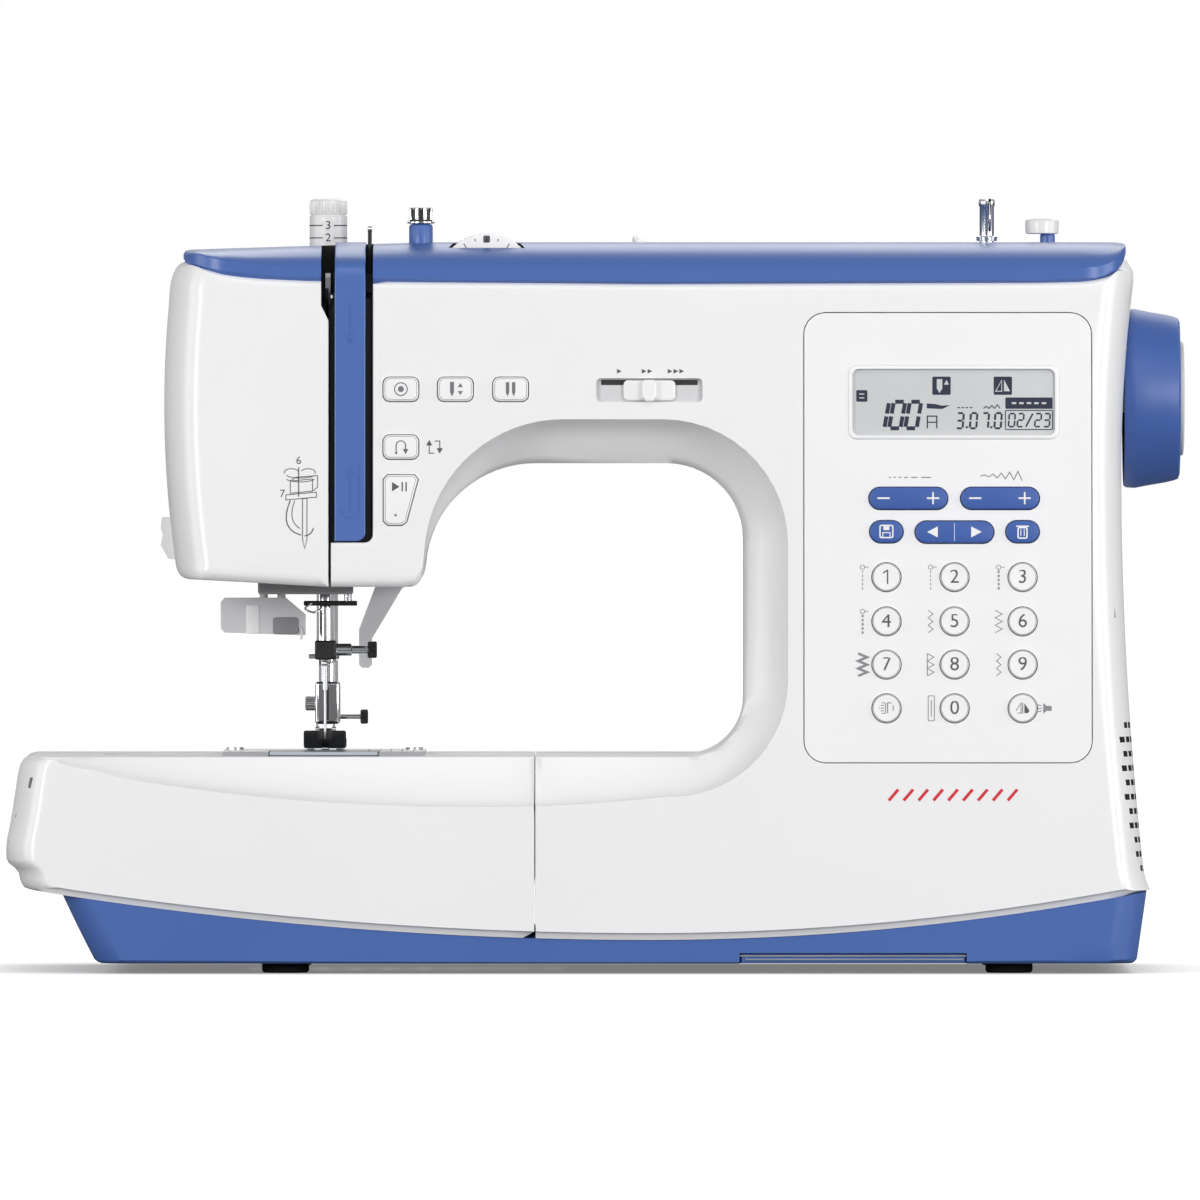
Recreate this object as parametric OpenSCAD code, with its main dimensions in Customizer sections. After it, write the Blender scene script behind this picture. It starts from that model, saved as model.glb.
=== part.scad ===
// Computerised zigzag sewing machine with a slide-off extension table.
// +X runs from the table end to the handwheel, +Y from the front to the back, +Z up.
// The origin is at the middle of the footprint, on the surface that the feet stand on.

/* [Body] */
// Thickness of the moulded casings
wall = 2.6; // [2.2:0.2:2.8]
// Height of the sewing bed
bed_z = 77.6; // [77.4:0.1:77.8]
// Clearance between neighbouring casings
seam = 0.3; // [0.25:0.05:0.4]
// Height of the rubber feet
foot_h = 3.6; // [3:0.2:3.8]

/* [Controls] */
// Gap round each key and button
key_gap = 0.35; // [0.3:0.05:0.45]
// Radius of the number keys
key_r = 5.1; // [4.6:0.1:5.2]
// Height of the long blue keys
pill_h = 7.9; // [7:0.1:8]
// Radius of the thread tension dial
tension_r = 18; // [17:0.5:18]
// Radius of the handwheel at the body
wheel_r = 32.4; // [30:0.4:33]

/* [Stitching parts] */
// Radius of the needle bar
needle_bar_r = 3.1; // [3:0.05:3.2]
// Radius of the presser bar
presser_bar_r = 3.5; // [3.3:0.05:3.6]
// Radius of the bobbin
bobbin_r = 10.2; // [10:0.1:10.3]

/* [Hidden] */
$fn = 48;

// ---- front face: a plane that leans back by 1 in 10 ----
lean = 0.1;
lean_deg = atan(lean);
face_foot_y = -85.5;                 // where the plane meets z = 0
function face_y(z) = face_foot_y + lean * z;

// ---- depths ----
rear_y = 84;                         // back of the bed
arm_rear_y = 46;
column_rear_y = 58;
column_top_z = 186;                  // top of the column's step at the back
split_y = -12;                       // joint between the front and the rear casing
tray_y = 79.5;                       // half depth of the base tray
arm_half = 38;                       // half width of the free arm
arm_end_x = -140;                    // centre of the free arm's round end

// ---- heights ----
cover_z = 248.4;                     // joint under the top cover
top_z = 263.2;                       // top of the top cover
head_z = 139;                        // underside of the head
plate_z = 79.2;                      // needle plate's top

// ---- widths ----
table_x = -22;                       // joint between the table and the bed
table_end_x = -212.8;
strip_l = -94.3;                     // blue thread guide strip
strip_r = -83.2;
slot_r = -80.5;                      // right edge of the right thread slot
head_seam_x = -96.1;                 // joint between the face cover and the front casing
strip_z = 155.2;                     // lower end of the strip

// ---- needle, presser and shafts ----
needle_x = -98.3;
needle_y = 0;
presser_x = -97.2;
presser_y = 12;
shaft_z = 206.6;
shaft_r = 5;
motor_z = 42;
hook_y = -18.5;
bore_gap = 0.06;                     // running clearance, on the radius
swing_z = 238;                       // pivot of the needle bar frame
lifter_x = -70.9;
lifter_z = 147;
ankle_y = 10;                        // pin that the presser foot tips on
ankle_z = 86;
switch_x = 188;                      // rocker's pivot
handle_y = 52;
handle_z = 238;
handle_x0 = -34;
handle_x1 = 104;
take_up_y = -30;
take_up_z = 232;
threader_x = [-120.4, -114];

// ---- control panel ----
panel_x0 = 74.5;
panel_x1 = 178.6;
panel_z0 = 76;
panel_z1 = 239.2;
panel_r = 8;
panel_t = 2.4;
key_x = [104.4, 128.9, 153.4];
key_rows = [143.3, 127.3, 111.7, 95.9];
pill_w = 28.2;
short_pill_w = 11.9;
pill_x = [112.3, 145.3];
pill_row1 = 171.9;
pill_row2 = 159.7;
lcd_x0 = 90.7;
lcd_x1 = 166.7;
lcd_z0 = 193.1;
lcd_z1 = 220;

// ---- arm buttons ----
arm_key_w = 12.6;
arm_key_h = 8.6;
arm_key_x = [-70.4, -50.8, -30.9];
arm_key_z = 211.2;
reverse_z = 190.3;
start_z0 = 162.1;
start_z1 = 180.2;
slider_x = 19.1;
slider_z = 210.9;
slider_slot = [38.2, 8.6];
slider_w = 18.7;

// ================= outlines =================
function arc(c, r, a0, a1, n = 10) =
  [for (i = [0:n]) let (a = a0 + (a1 - a0) * i / n) [c[0] + r * cos(a), c[1] + r * sin(a)]];

// lower edge of the white casings, an arc each side of its lowest point
belly_x = 19;
belly_z = 11.9;
function belly(x) = belly_z + pow(x - belly_x, 2) / (2 * (x < belly_x ? 1383 : 924));
function belly_run(x0, x1, up, n) =
  [for (i = [0:n]) let (x = x0 + (x1 - x0) * i / n) [x, belly(x) + up]];

// hollow right side of the column, and barrel-shaped left side of the head
function right_x(z) = 189.4 + (z > 180 ? 0.00094 : 0.00038) * pow(z - 180, 2);
function left_x(z) = -156 + 0.00125 * pow(z - 205, 2);

// crest along the front of the bed, where the bevel to the bed's top starts
function crest_z(x) = 60 + (x < -40 ? 17 * pow((-40 - x) / 163, 2.2) : 4 * pow((x + 40) / 68, 2));

// edge of the work space under the arm. s is 0 at the back and 1 at the front face,
// and t moves the edge outwards.
function throat_edge(s, t) = concat(
  arc([-22 + 10 * s, 143.4 + 6 * s], 40 + 10 * s + t, 172, 90, 12),
  arc([25.3 - 1.3 * s, 155.4 - s], 28 + 17 * s + t, 90, 0, 10),
  arc([33.3 - 5.3 * s, 98.4 + 7.6 * s], 20 + 22 * s + t, 0, -90, 10));
function bed_edge(x, s) = bed_z + s * (crest_z(x) - bed_z);

module throat_void(s, t) {
  polygon(concat(
    [for (x = [-230:14:20]) [x, bed_edge(x, s) - t]],
    [[27, bed_edge(27, s) - t]],
    [for (i = [len(throat_edge(s, t)) - 1:-1:0]) throat_edge(s, t)[i]],
    [[-68 - t, head_z - 0.6 + t], [-230, head_z - 0.6 + t]]));
}

// the fixed front and rear casings, seen from the front, drawn t inside their edge.
// They are open above and below, where the top cover and the base tray close them.
function casing_edge(t, left) = concat(
  belly_run(table_x + t, 196 - t, t > 0 ? -15 : seam, 18),
  [for (z = [29:22:205]) [right_x(z) - t, z]],
  [[right_x(cover_z) - t, cover_z - seam + (t > 0 ? 5 : 0)], [left, cover_z - seam + (t > 0 ? 5 : 0)]],
  left < slot_r ? [] : [[left, strip_z - seam - t], [head_seam_x + 0.5 + t, strip_z - seam - t]],
  [[min(left, head_seam_x + 0.5 + t), head_z + t], [-68 - t, head_z - 0.6 + t]],
  throat_edge(0, t),
  [[table_x + t, bed_z - t]]);
module front_outline(t) { polygon(casing_edge(t, slot_r + t)); }
module rear_outline(t) { polygon(casing_edge(t, t > 0 ? -110 : head_seam_x + 0.5)); }

// ================= helpers =================
module slab(y0, y1) { translate([0, y1, 0]) rotate([90, 0, 0]) linear_extrude(y1 - y0) children(); }
module xslab(x0, x1) { translate([x0, 0, 0]) rotate([90, 0, 90]) linear_extrude(x1 - x0) children(); }
module on_face() { translate([0, face_foot_y, 0]) rotate([-lean_deg, 0, 0]) children(); }
module rod_x(x0, x1, y, z, r) { translate([x0, y, z]) rotate([0, 90, 0]) cylinder(r = r, h = x1 - x0); }
module rod_y(x, y0, y1, z, r) { translate([x, y1, z]) rotate([90, 0, 0]) cylinder(r = r, h = y1 - y0); }
module rod_z(x, y, z0, z1, r) { translate([x, y, z0]) cylinder(r = r, h = z1 - z0); }
module block(x0, x1, y0, y1, z0, z1) { translate([x0, y0, z0]) cube([x1 - x0, y1 - y0, z1 - z0]); }
module behind_face(t) {
  xslab(-230, 230) polygon([[face_y(-5) + t, -5], [face_y(270) + t, 270], [120, 270], [120, -5]]);
}
module round_rect(x, z, w, h, r) {
  translate([x, z]) {
    square([w - 2 * r, h], center = true);
    square([w, h - 2 * r], center = true);
    for (i = [-1, 1], j = [-1, 1]) translate([i * (w / 2 - r), j * (h / 2 - r)]) circle(r);
  }
}
module round_span(x0, x1, z0, z1, r) { round_rect((x0 + x1) / 2, (z0 + z1) / 2, x1 - x0, z1 - z0, r); }
bevel_steps = [[5, 1], [10, 0.6], [15, 0.25]];  // depth behind the face, and s
module bevel_cut(t) {
  for (b = bevel_steps) on_face() slab(-2, b[0] + t) throat_void(b[1], t);
}

// ================= casings =================
module base_tray() {
  color("royalblue") difference() {
    slab(-tray_y, tray_y) polygon(concat([[-180, foot_h], [194.4, foot_h]],
      [for (i = [0:20]) let (x = 198 - 390.4 * i / 20) [x, belly(x)]]));
    slab(-tray_y + 2.5, tray_y - 2.5)
      polygon([[-178, 6.1], [191.8, 6.1], [199.5, 57], [-204.2, 57]]);
    block(51.5, 133.2, -90, -70, 0, 7.4);      // hand recess under the front edge
    for (x = [-120:12:160]) block(x, x + 6, -30, 30, 0, 12);  // air slots in the floor
  }
}
module rubber_feet() {
  color("black") for (x = [-112, 148.7], y = [-60, 60]) {
    translate([x, y, 0]) cylinder(r1 = 7.9, r2 = 8.5, h = 0.8);
    rod_z(x, y, 0.8, foot_h, 8.5);
  }
}
module front_shell() {
  color("white") difference() {
    intersection() { slab(-90, split_y) front_outline(0); behind_face(0); }
    difference() {
      intersection() { slab(-90, split_y + 1) front_outline(wall); behind_face(wall); }
      bevel_cut(wall);
    }
    bevel_cut(0);
    head_openings();
    on_face() slab(-2, 12)
      round_span(panel_x0 - key_gap, panel_x1 + key_gap, panel_z0 - key_gap, panel_z1 + key_gap, panel_r);
    on_face() slab(-2, 12) arm_key_faces(key_gap);
    on_face() slab(-2, 12) round_rect(slider_x, slider_z, slider_slot[0], slider_slot[1], 1.6);
  }
}
// under the head, inside the head beside the face cover, and into the free arm
module head_openings() {
  block(-97, -74, -26, 24, 130, 150);
  block(-97, -80, -50, 36, 148, 160);
  block(-97, -77, -46, arm_rear_y - wall, 158, 260);
  block(table_x - 1, table_x + wall + 1, -35, 35, 36, bed_z - 3);
}
module arm_key_faces(g) {
  for (x = arm_key_x) round_rect(x, arm_key_z, arm_key_w + 2 * g, arm_key_h + 2 * g, 2.6);
  round_rect(arm_key_x[0], reverse_z, arm_key_w + 2 * g, arm_key_h + 2 * g, 2.6);
  start_face(g);
}
module start_face(g) {
  polygon([[-76.6 - g, start_z1 - 1.5 + g], [-75.1 - g, start_z1 + g], [-65.6 + g, start_z1 + g],
    [-64.3 + g, start_z1 - 1.6 + g], [-68.4 + g, start_z0 + 1.2 - g], [-70 + g, start_z0 - g],
    [-75.1 - g, start_z0 - g], [-76.6 - g, start_z0 + 1.5 - g]]);
}
// arm and head, then column, then bed
module rear_casing(t) {
  y0 = split_y + seam - (t > 0 ? 2 : 0);
  intersection() {
    slab(y0, arm_rear_y - t) rear_outline(t);
    block(-240, 240, -90, 90, bed_z - 12, 300);
  }
  intersection() {
    slab(y0, column_rear_y - t) rear_outline(t);
    block(58 + t, 240, -90, 90, bed_z - 12, column_top_z - t);
  }
  intersection() {
    slab(y0, rear_y - t) rear_outline(t);
    block(-240, 240, -90, 90, -5, bed_z - t);
  }
}
module rear_shell() {
  color("white") difference() {
    union() {
      difference() { rear_casing(0); rear_casing(wall); }
      for (x = [handle_x0, handle_x1]) handle_lug(x);
    }
    head_openings();
    rod_x(180, 200, 0, shaft_z, shaft_r + 2);
    rod_y(lifter_x, 40, 50, lifter_z, 3 + bore_gap);
    spool_trough(20.8);
    block(181, 205, 14, 42, 38, 62);           // mains socket
    block(181, 205, 14, 36, 68, 92);           // power switch
    for (z = [100:6:148], x = [100:14:170]) block(x, x + 9, 50, 62, z, z + 2.4);
    for (z = [34:5:70], y = [-6]) block(185, 205, y, y + 14, z, z + 2.4);
    for (s = rear_screws) rod_y(s[0], s[2] - 8, s[2] + 1, s[1], 2.1);
  }
}
rear_screws = [[-56, 232, arm_rear_y], [44, 232, arm_rear_y], [-66, 190, arm_rear_y],
  [168, 232, arm_rear_y], [72, 96, column_rear_y], [176, 88, column_rear_y],
  [10, 30, rear_y], [176, 40, rear_y]];
module handle_lug(x) {
  difference() {
    union() {
      block(x - 3, x + 3, arm_rear_y - 1, handle_y, handle_z - 5, handle_z + 5);
      rod_x(x - 3, x + 3, handle_y, handle_z, 5);
    }
    rod_x(x - 4, x + 4, handle_y, handle_z, 2.5 + bore_gap);
  }
}
module face_edge(t) {
  polygon(concat(
    [[left_x(141) + 2 + t, head_z + 1.5 + t], [head_seam_x - 0.4, head_z + t * 1.02],
     [head_seam_x - 0.4, cover_z - seam + (t > 0 ? 5 : 0)]],
    [for (z = [cover_z - seam + (t > 0 ? 5 : 0):-12:150]) [left_x(z) + t, z]]));
}
module face_cover() {
  color("white") difference() {
    intersection() { slab(-90, arm_rear_y) face_edge(0); behind_face(0); }
    intersection() {
      slab(-90, arm_rear_y - wall) union() {
        face_edge(wall);
        translate([-100, 150]) square([10, 105]);
      }
      behind_face(wall);
    }
    block(-126, -90, -26, 24, 130, 150);       // opening under the head
    block(-99.2, -96, -90, -16, 226, 260);     // slot of the take-up lever
    block(-160, -148, -6, 6, 176, 186);        // finger catch
  }
}
module cover_section(t) {
  polygon([[-60 + t, cover_z - (t > 0 ? 5 : 0)], [-60.4 + t, 253.4], [-57 + t, 256.5 - t * 0.4], [-44, 260.6 - t],
    [-24, top_z - t], [38, top_z - t], [arm_rear_y - t, top_z - 5 - t * 0.4],
    [arm_rear_y - t, cover_z - (t > 0 ? 5 : 0)]]);
}
spool_y = 26;
spool_z = 252;
module spool_trough(r) { rod_x(6, 114, spool_y, spool_z, r); }
module top_cover() {
  color("royalblue") difference() {
    union() {
      difference() {
        intersection() {
          xslab(-149, 191) cover_section(0);
          slab(-90, 60) polygon([[-149, cover_z], [191, cover_z], [191, 259], [187, 264], [-145, 264], [-149, 260]]);
        }
        intersection() {
          xslab(-149 + 2.4, 191 - 2.4) cover_section(2.4);
          slab(-90, 60) polygon([[-146.6, 240], [188.6, 240], [188.6, 258], [186, 260.8], [-144, 260.8], [-146.6, 258]]);
        }
      }
      intersection() {
        spool_trough(20.4);
        block(0, 120, -20, arm_rear_y, 200, 262);
      }
    }
    block(8, 112, spool_y - 18, 90, spool_z, 300);
    intersection() { rod_x(8, 112, spool_y, spool_z, 18); block(0, 120, spool_y - 18, 90, 200, 300); }
    block(-99.2, slot_r, -90, -16, 240, 270);                      // thread guide
    rod_z(presser_x, presser_y, 240, 270, 7.3);                    // pressure dial
    block(-39.6 - 19.5, -39.6 + 19.5, -45, -35, 240, 270);         // tension dial
    rod_z(-63.4, -28, 240, 270, 2.1);                              // tension post
    rod_z(163.3, -8, 240, 270, 2.1);                               // winder stop
    translate([138.3, -8, 240]) linear_extrude(30) round_span(0, 12, -3.4, 3.4, 3.3);  // winder slot
  }
}
module thread_guide() {
  // blue strip, down the face and back over the top
  color("royalblue") xslab(strip_l, strip_r) polygon([
    [face_y(strip_z + 0.4), strip_z + 0.4], [-60.2, 253.4], [-57, 256.5], [-44, 260.6], [-24, top_z],
    [-16.4, top_z], [-16.4, top_z - 2.4], [-24, top_z - 2.4], [-43.6, 258.2], [-55.6, 254.4],
    [-57.6, 252.4], [face_y(strip_z + 0.4) + 2.6, strip_z + 0.4]]);
  // dark channel behind the two thread slots
  color("black") difference() {
    on_face() slab(10, 14) translate([-95.4, 158]) square([14, 88]);
    on_face() slab(9, 12.4) translate([-93.8, 150]) square([10.4, 90]);
  }
}
module control_panel() {
  color("whitesmoke") on_face() difference() {
    slab(0, panel_t) round_span(panel_x0, panel_x1, panel_z0, panel_z1, panel_r - key_gap);
    slab(-1, panel_t + 1) panel_key_faces(key_gap);
    slab(-1, panel_t + 1) round_span(lcd_x0, lcd_x1, lcd_z0, lcd_z1, 3);
  }
}
module panel_key_faces(g) {
  for (x = key_x, z = key_rows) translate([x, z]) circle(key_r + g);
  for (x = pill_x) pill(x, pill_row1, pill_w, g);
  pill(key_x[0], pill_row2, short_pill_w, g);
  pill(key_x[1], pill_row2, pill_w, g);
  pill(key_x[2], pill_row2, short_pill_w, g);
}
module pill(x, z, w, g) {
  r = pill_h / 2 + g;
  translate([x, z]) {
    square([w - pill_h, 2 * r], center = true);
    for (i = [-1, 1]) translate([i * (w - pill_h) / 2, 0]) circle(r);
  }
}
module lcd_display() {
  // clear window in the panel, LCD glass behind it, and the circuit board with its contacts
  color("lightsteelblue") on_face() slab(0.6, 2.2) round_span(lcd_x0 + 0.2, lcd_x1 - 0.2, lcd_z0 + 0.2, lcd_z1 - 0.2, 2.8);
  color("silver") on_face() slab(2.6, 6.4) translate([lcd_x0 - 2, lcd_z0 - 2]) square([80, 31]);
  color("green") on_face() slab(9, 10.6) translate([panel_x0 + 4, panel_z0 + 6]) square([96, 152]);
}
// free arm with a round end, t inside its surface
module free_arm(t, top) {
  block(arm_end_x, table_x - 0.2 + (t > 0 ? 2 : 0), -arm_half + t, arm_half - t, 33 + t, top);
  rod_z(arm_end_x, 0, 33 + t, top, arm_half - t);
}
module free_arm_cover() {
  color("white") difference() {
    free_arm(0, bed_z - 0.2);
    free_arm(wall, bed_z - 0.2 - wall);
    block(-134, -63, -35, 34, 60, 90);          // under the needle plate
  }
}
module needle_plate() {
  color("silver") difference() {
    union() {
      block(-135, -61.9, -36.6, 36, bed_z - 0.2, plate_z);
      block(-133.6, -63.4, -2, 33.6, bed_z - 1.8, bed_z);
    }
    block(-118.4, -78.6, -40, -3.2, 70, 90);    // seat of the bobbin cover
    translate([needle_x, needle_y, 70]) linear_extrude(20) round_rect(0, 0, 9.4, 2.4, 1.1);
    for (x = [-5.2, 5.2]) block(needle_x + x - 1.5, needle_x + x + 1.5, 1.4, 25, 70, 90);
    block(needle_x - 1.5, needle_x + 1.5, 6, 25, 70, 90);
    for (x = [-131, -66]) rod_z(x, 12, 70, 90, 1.55);
  }
}
module casing_screws() {
  color("silver") {
    for (s = rear_screws) {
      rod_y(s[0], s[2] - 7.6, s[2] - 2.7, s[1], 2.0);
    }
    for (x = [-131, -66]) {
      rod_z(x, 12, 72, plate_z - 0.4, 1.5);
      rod_z(x, 12, plate_z, plate_z + 0.9, 3.1);
      rod_z(x, 12, plate_z - 0.6, plate_z + 0.1, 1.5);
    }
  }
}
module power_inlet() {
  color("dimgray") difference() {
    union() {
      block(186.6, 195.4, 14.3, 41.7, 38.3, 61.7);
      block(174, 186.6, 16, 40, 40, 60);
    }
    block(180, 200, 18, 38, 43, 57);
  }
  color("gold") for (y = [24, 32]) rod_x(179, 190, y, 50, 1.2);
}
module power_switch() {
  // rocker, tilted to off about its own pivot
  color("black") translate([switch_x, 25, 80]) rotate([0, -8, 0]) difference() {
    union() {
      block(-3, 5, -9.8, 9.8, -10, 10);
      rod_y(0, -9.8, 9.8, 0, 3.4);
    }
    rod_y(24, -12, 12, 0, 20);
  }
}

// ================= drive =================
module chassis() {
  color("gray") difference() {
    union() {
      block(-19, 186, -60, 60, 6.3, 8.3);               // floor plate
      for (x = [90, 166]) block(x, x + 3, -36, 34, 8, 232);   // column plates
      block(-86, 169, 24, 33, 200, 230);                // arm beam
      block(-86, -83, -34, 34, 146, 232);               // head plate
      block(-150, 93, 24, 32, 38, 70);                  // bed beam
      for (x = [-88, 88, 164]) rod_x(x, x + 7, 0, shaft_z, 11);
      for (z = [150, 225]) block(-104, -84, presser_y - 4.9, presser_y + 5.5, z, z + 6);
      block(-124, -84, -14.5, -7.4, 150, 157);          // guide of the threader's rods
      block(-104, -84, -10, -6.8, 231, 243);            // swing bracket and its pin
      block(-86, -83, -12, -4, 230, 243);
      rod_y(needle_x, -10, 5, swing_z, 1.44);
      rod_x(-98.6, -84, take_up_y, take_up_z, 1.94);    // take-up lever's pin
      rod_z(needle_x, hook_y, 40, 46, 12);              // hook bearing
      block(needle_x - 6, needle_x + 6, hook_y, 28, 40, 46);
    }
    rod_x(-95, 180, 0, shaft_z, shaft_r + bore_gap);
    rod_z(presser_x, presser_y, 140, 240, presser_bar_r + bore_gap);
    rod_x(150, 180, 0, motor_z, 5);
    rod_z(needle_x, hook_y, 38, 50, 4 + bore_gap);
    for (x = threader_x) rod_z(x, -11, 140, 160, 1.5 + bore_gap);
  }
}
module main_shaft() {
  color("silver") {
    rod_x(-92, 203, 0, shaft_z, shaft_r);
    difference() {
      rod_x(172.4, 181.4, 0, shaft_z, 24);              // belt wheel
      rod_x(172, 182, 0, shaft_z, shaft_r - 0.5);
    }
    rod_x(-91.8, -89, 0, shaft_z, 17);                  // crank disc
  }
}
module handwheel() {
  color("royalblue") difference() {
    union() {
      translate([194.2, 0, shaft_z]) rotate([0, 90, 0]) cylinder(r1 = wheel_r, r2 = wheel_r - 2.9, h = 17.1);
      rod_x(211.3, 212.8, 0, shaft_z, 19.8);
    }
    rod_x(194, 203, 0, shaft_z, wheel_r - 5);
  }
}
module motor_pulley() {
  color("silver") {
    rod_x(160.6, 181.4, 0, motor_z, 3);
    difference() { rod_x(172.4, 181.4, 0, motor_z, 8); rod_x(172, 182, 0, motor_z, 2.5); }
  }
}
module main_motor() {
  color("dimgray") difference() {
    union() { rod_x(96, 160, 0, motor_z, 25); rod_x(160, 165.4, 0, motor_z, 9); }
    rod_x(158, 170, 0, motor_z, 3.2);
  }
  // belt, clear of both wheels
  color("black") xslab(173.5, 180.4) difference() {
    belt_loop(26.2, 10.2);
    belt_loop(24.7, 8.7);
  }
}
module belt_loop(r_top, r_low) {
  d = shaft_z - motor_z;
  a = asin((r_top - r_low) / d);
  polygon(concat(
    arc([0, shaft_z], r_top, -a, 180 + a, 24),
    arc([0, motor_z], r_low, 180 + a, 360 - a, 16)));
}
module rotary_hook() {
  color("silver") difference() {
    union() {
      rod_z(needle_x, hook_y, 54, 71, 16.6);
      rod_z(needle_x, hook_y, 36, 54.5, 4);
    }
    rod_z(needle_x, hook_y, 56, 72, 14.6);
    translate([needle_x, hook_y, 66]) rotate([0, 0, 100]) block(6, 22, -9, 9, 0, 10);
  }
}
module bobbin() {
  color("lightcyan") difference() {
    union() {
      rod_z(needle_x, hook_y, 60, 61.2, bobbin_r);
      rod_z(needle_x, hook_y, 60, 71.4, 5);
      rod_z(needle_x, hook_y, 70.2, 71.4, bobbin_r);
    }
    rod_z(needle_x, hook_y, 59, 72, 3);
  }
}
module bobbin_cover() {
  color("lightgray") {
    block(-118, -79, -36.4, -3.5, bed_z + 0.3, plate_z - 0.1);
  }
}

// ================= head =================
module needle_bar_frame() {
  color("gray") difference() {
    union() {
      for (z = [152, 182]) block(-104, -93.2, -6, 4.6, z, z + 8);
      block(-104, -93.2, -6, 4.6, 232, 242);
      block(-104, -102.3, -6, 4.6, 152, 242);
    }
    rod_z(needle_x, needle_y, 140, 200, needle_bar_r + bore_gap);
    rod_y(needle_x, -8, 8, swing_z, 1.5);
  }
}
module needle_bar() {
  color("silver") rod_z(needle_x, needle_y, 114, 210, needle_bar_r);
  // needle clamp and its thumb screw
  color("black") {
    difference() {
      block(-102, -94.3, -4, 4, 112, 119);
      rod_z(needle_x, needle_y, 114, 125, needle_bar_r);
      rod_z(needle_x, needle_y, 110, 114, 1.1);
    }
    rod_x(-94.3, -82.8, 0, 115.6, 1.6);
    rod_x(-82.8, -79.5, 0, 115.6, 3.1);
    rod_x(-104.2, -102, -2, 113.2, 0.8);
  }
}
module needle() {
  color("gainsboro") {
    rod_z(needle_x, needle_y, 101, 113.4, 1);
    rod_z(needle_x, needle_y, 86, 101.2, 0.5);
    translate([needle_x, needle_y, 83]) cylinder(r1 = 0.1, r2 = 0.5, h = 3);
  }
}
module presser_bar() {
  color("silver") {
    rod_z(presser_x, presser_y, 92, 240, presser_bar_r);
    // foot holder, clamped to the bar, with two ears for the foot's pin
    block(-102, -92.9, 6.4, 17, 88.5, 104);
    for (x = [-102, -96]) difference() {
      union() {
        block(x, x + 1.6, ankle_y - 3, ankle_y + 3, ankle_z, 88.5);
        rod_x(x, x + 1.6, ankle_y, ankle_z, 3);
      }
      rod_x(x - 1, x + 3, ankle_y, ankle_z, 1.06);
    }
    rod_x(-105.6, -101.5, presser_y - 1, 96, 2.7);
    rod_x(-93.5, -83.4, presser_y - 1, 91.2, 0.9);
    rod_x(-85.4, -82.8, presser_y - 1, 91.2, 2.7);
  }
}
module presser_foot() {
  color("black") {
    difference() {
      union() {
        xslab(needle_x - 7.7, needle_x + 7.7) polygon(concat(
          [[-13, 83.4], [-12.6, 82.6], [-8, 79.95], [ankle_y, 79.95]],
          arc([ankle_y, ankle_z], ankle_z - 79.95, -90, -30, 8),
          [[ankle_y + 4.6, 83.4]]));
        block(-100.2, -96.2, ankle_y - 3, ankle_y + 3, 82, 87);
      }
      translate([needle_x, 0, 75]) linear_extrude(15) round_rect(0, 0, 9.6, 3, 1.4);
      translate([needle_x, -3, 75]) linear_extrude(15) polygon([[-2, -12], [2, -12], [1, 2], [-1, 2]]);
      for (x = [-104, -96.1]) block(x, x + 3.8, ankle_y - 3.8, ankle_y + 6, 82.4, 84);
    }
    rod_x(-102, -94.4, ankle_y, ankle_z, 1);
  }
}
module lifter_lever() {
  color("lightgray") {
    rod_y(lifter_x, 38, 47, lifter_z, 3);
    rod_y(lifter_x, 47, 52, lifter_z, 7);
    slab(47.2, 51.8) polygon([[-77.5, 146], [-64.5, 143], [-70.9, 137], [-81.7, 119],
      [-81.7, 109.6], [-82.8, 108.4], [-85.3, 108.4], [-86.4, 109.6], [-86.4, 122.4]]);
  }
}
module needle_threader() {
  color("lightgray") {
    difference() {
      slab(-13, -9) polygon([[-136, 133], [-134.6, 134.6], [-112.4, 134.6], [-105.2, 128.5],
        [-105.2, 121], [-108.4, 121], [-125, 121.6], [-134.6, 121.9], [-136, 123.4]]);
      slab(-10.6, -8) translate([-118, 122.5]) square([8, 5.5]);
    }
    block(-121, -117, -9.2, -6, 124, 134);
  }
  color("silver") for (x = threader_x) rod_z(x, -11, 134, 190, 1.5);
}
module take_up_lever() {
  color("silver") {
    difference() {
      union() {
        rod_x(-98.2, -95.2, take_up_y, take_up_z, 4.5);
        xslab(-97.6, -95.8) polygon([[-30, 227.5], [-30, 236.5], [-50, 244], [-60, 252], [-62.5, 250.5],
          [-62, 247], [-56, 241], [-46, 233]]);
      }
      rod_x(-99, -94, take_up_y, take_up_z, 2);
      rod_x(-99, -94, -59.8, 249, 0.9);
    }
  }
}
module tension_dial() {
  color("white") difference() {
    rod_y(-39.6, -43.6, -36.4, 248.4, tension_r);
    rod_y(-39.6, -45, -35, 248.4, 2.5);
  }
}
module pressure_dial() {
  color("white") difference() {
    rod_z(presser_x, presser_y, 244, 279, 6.9);
    rod_z(presser_x, presser_y, 243, 270, 5);
  }
}
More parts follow.
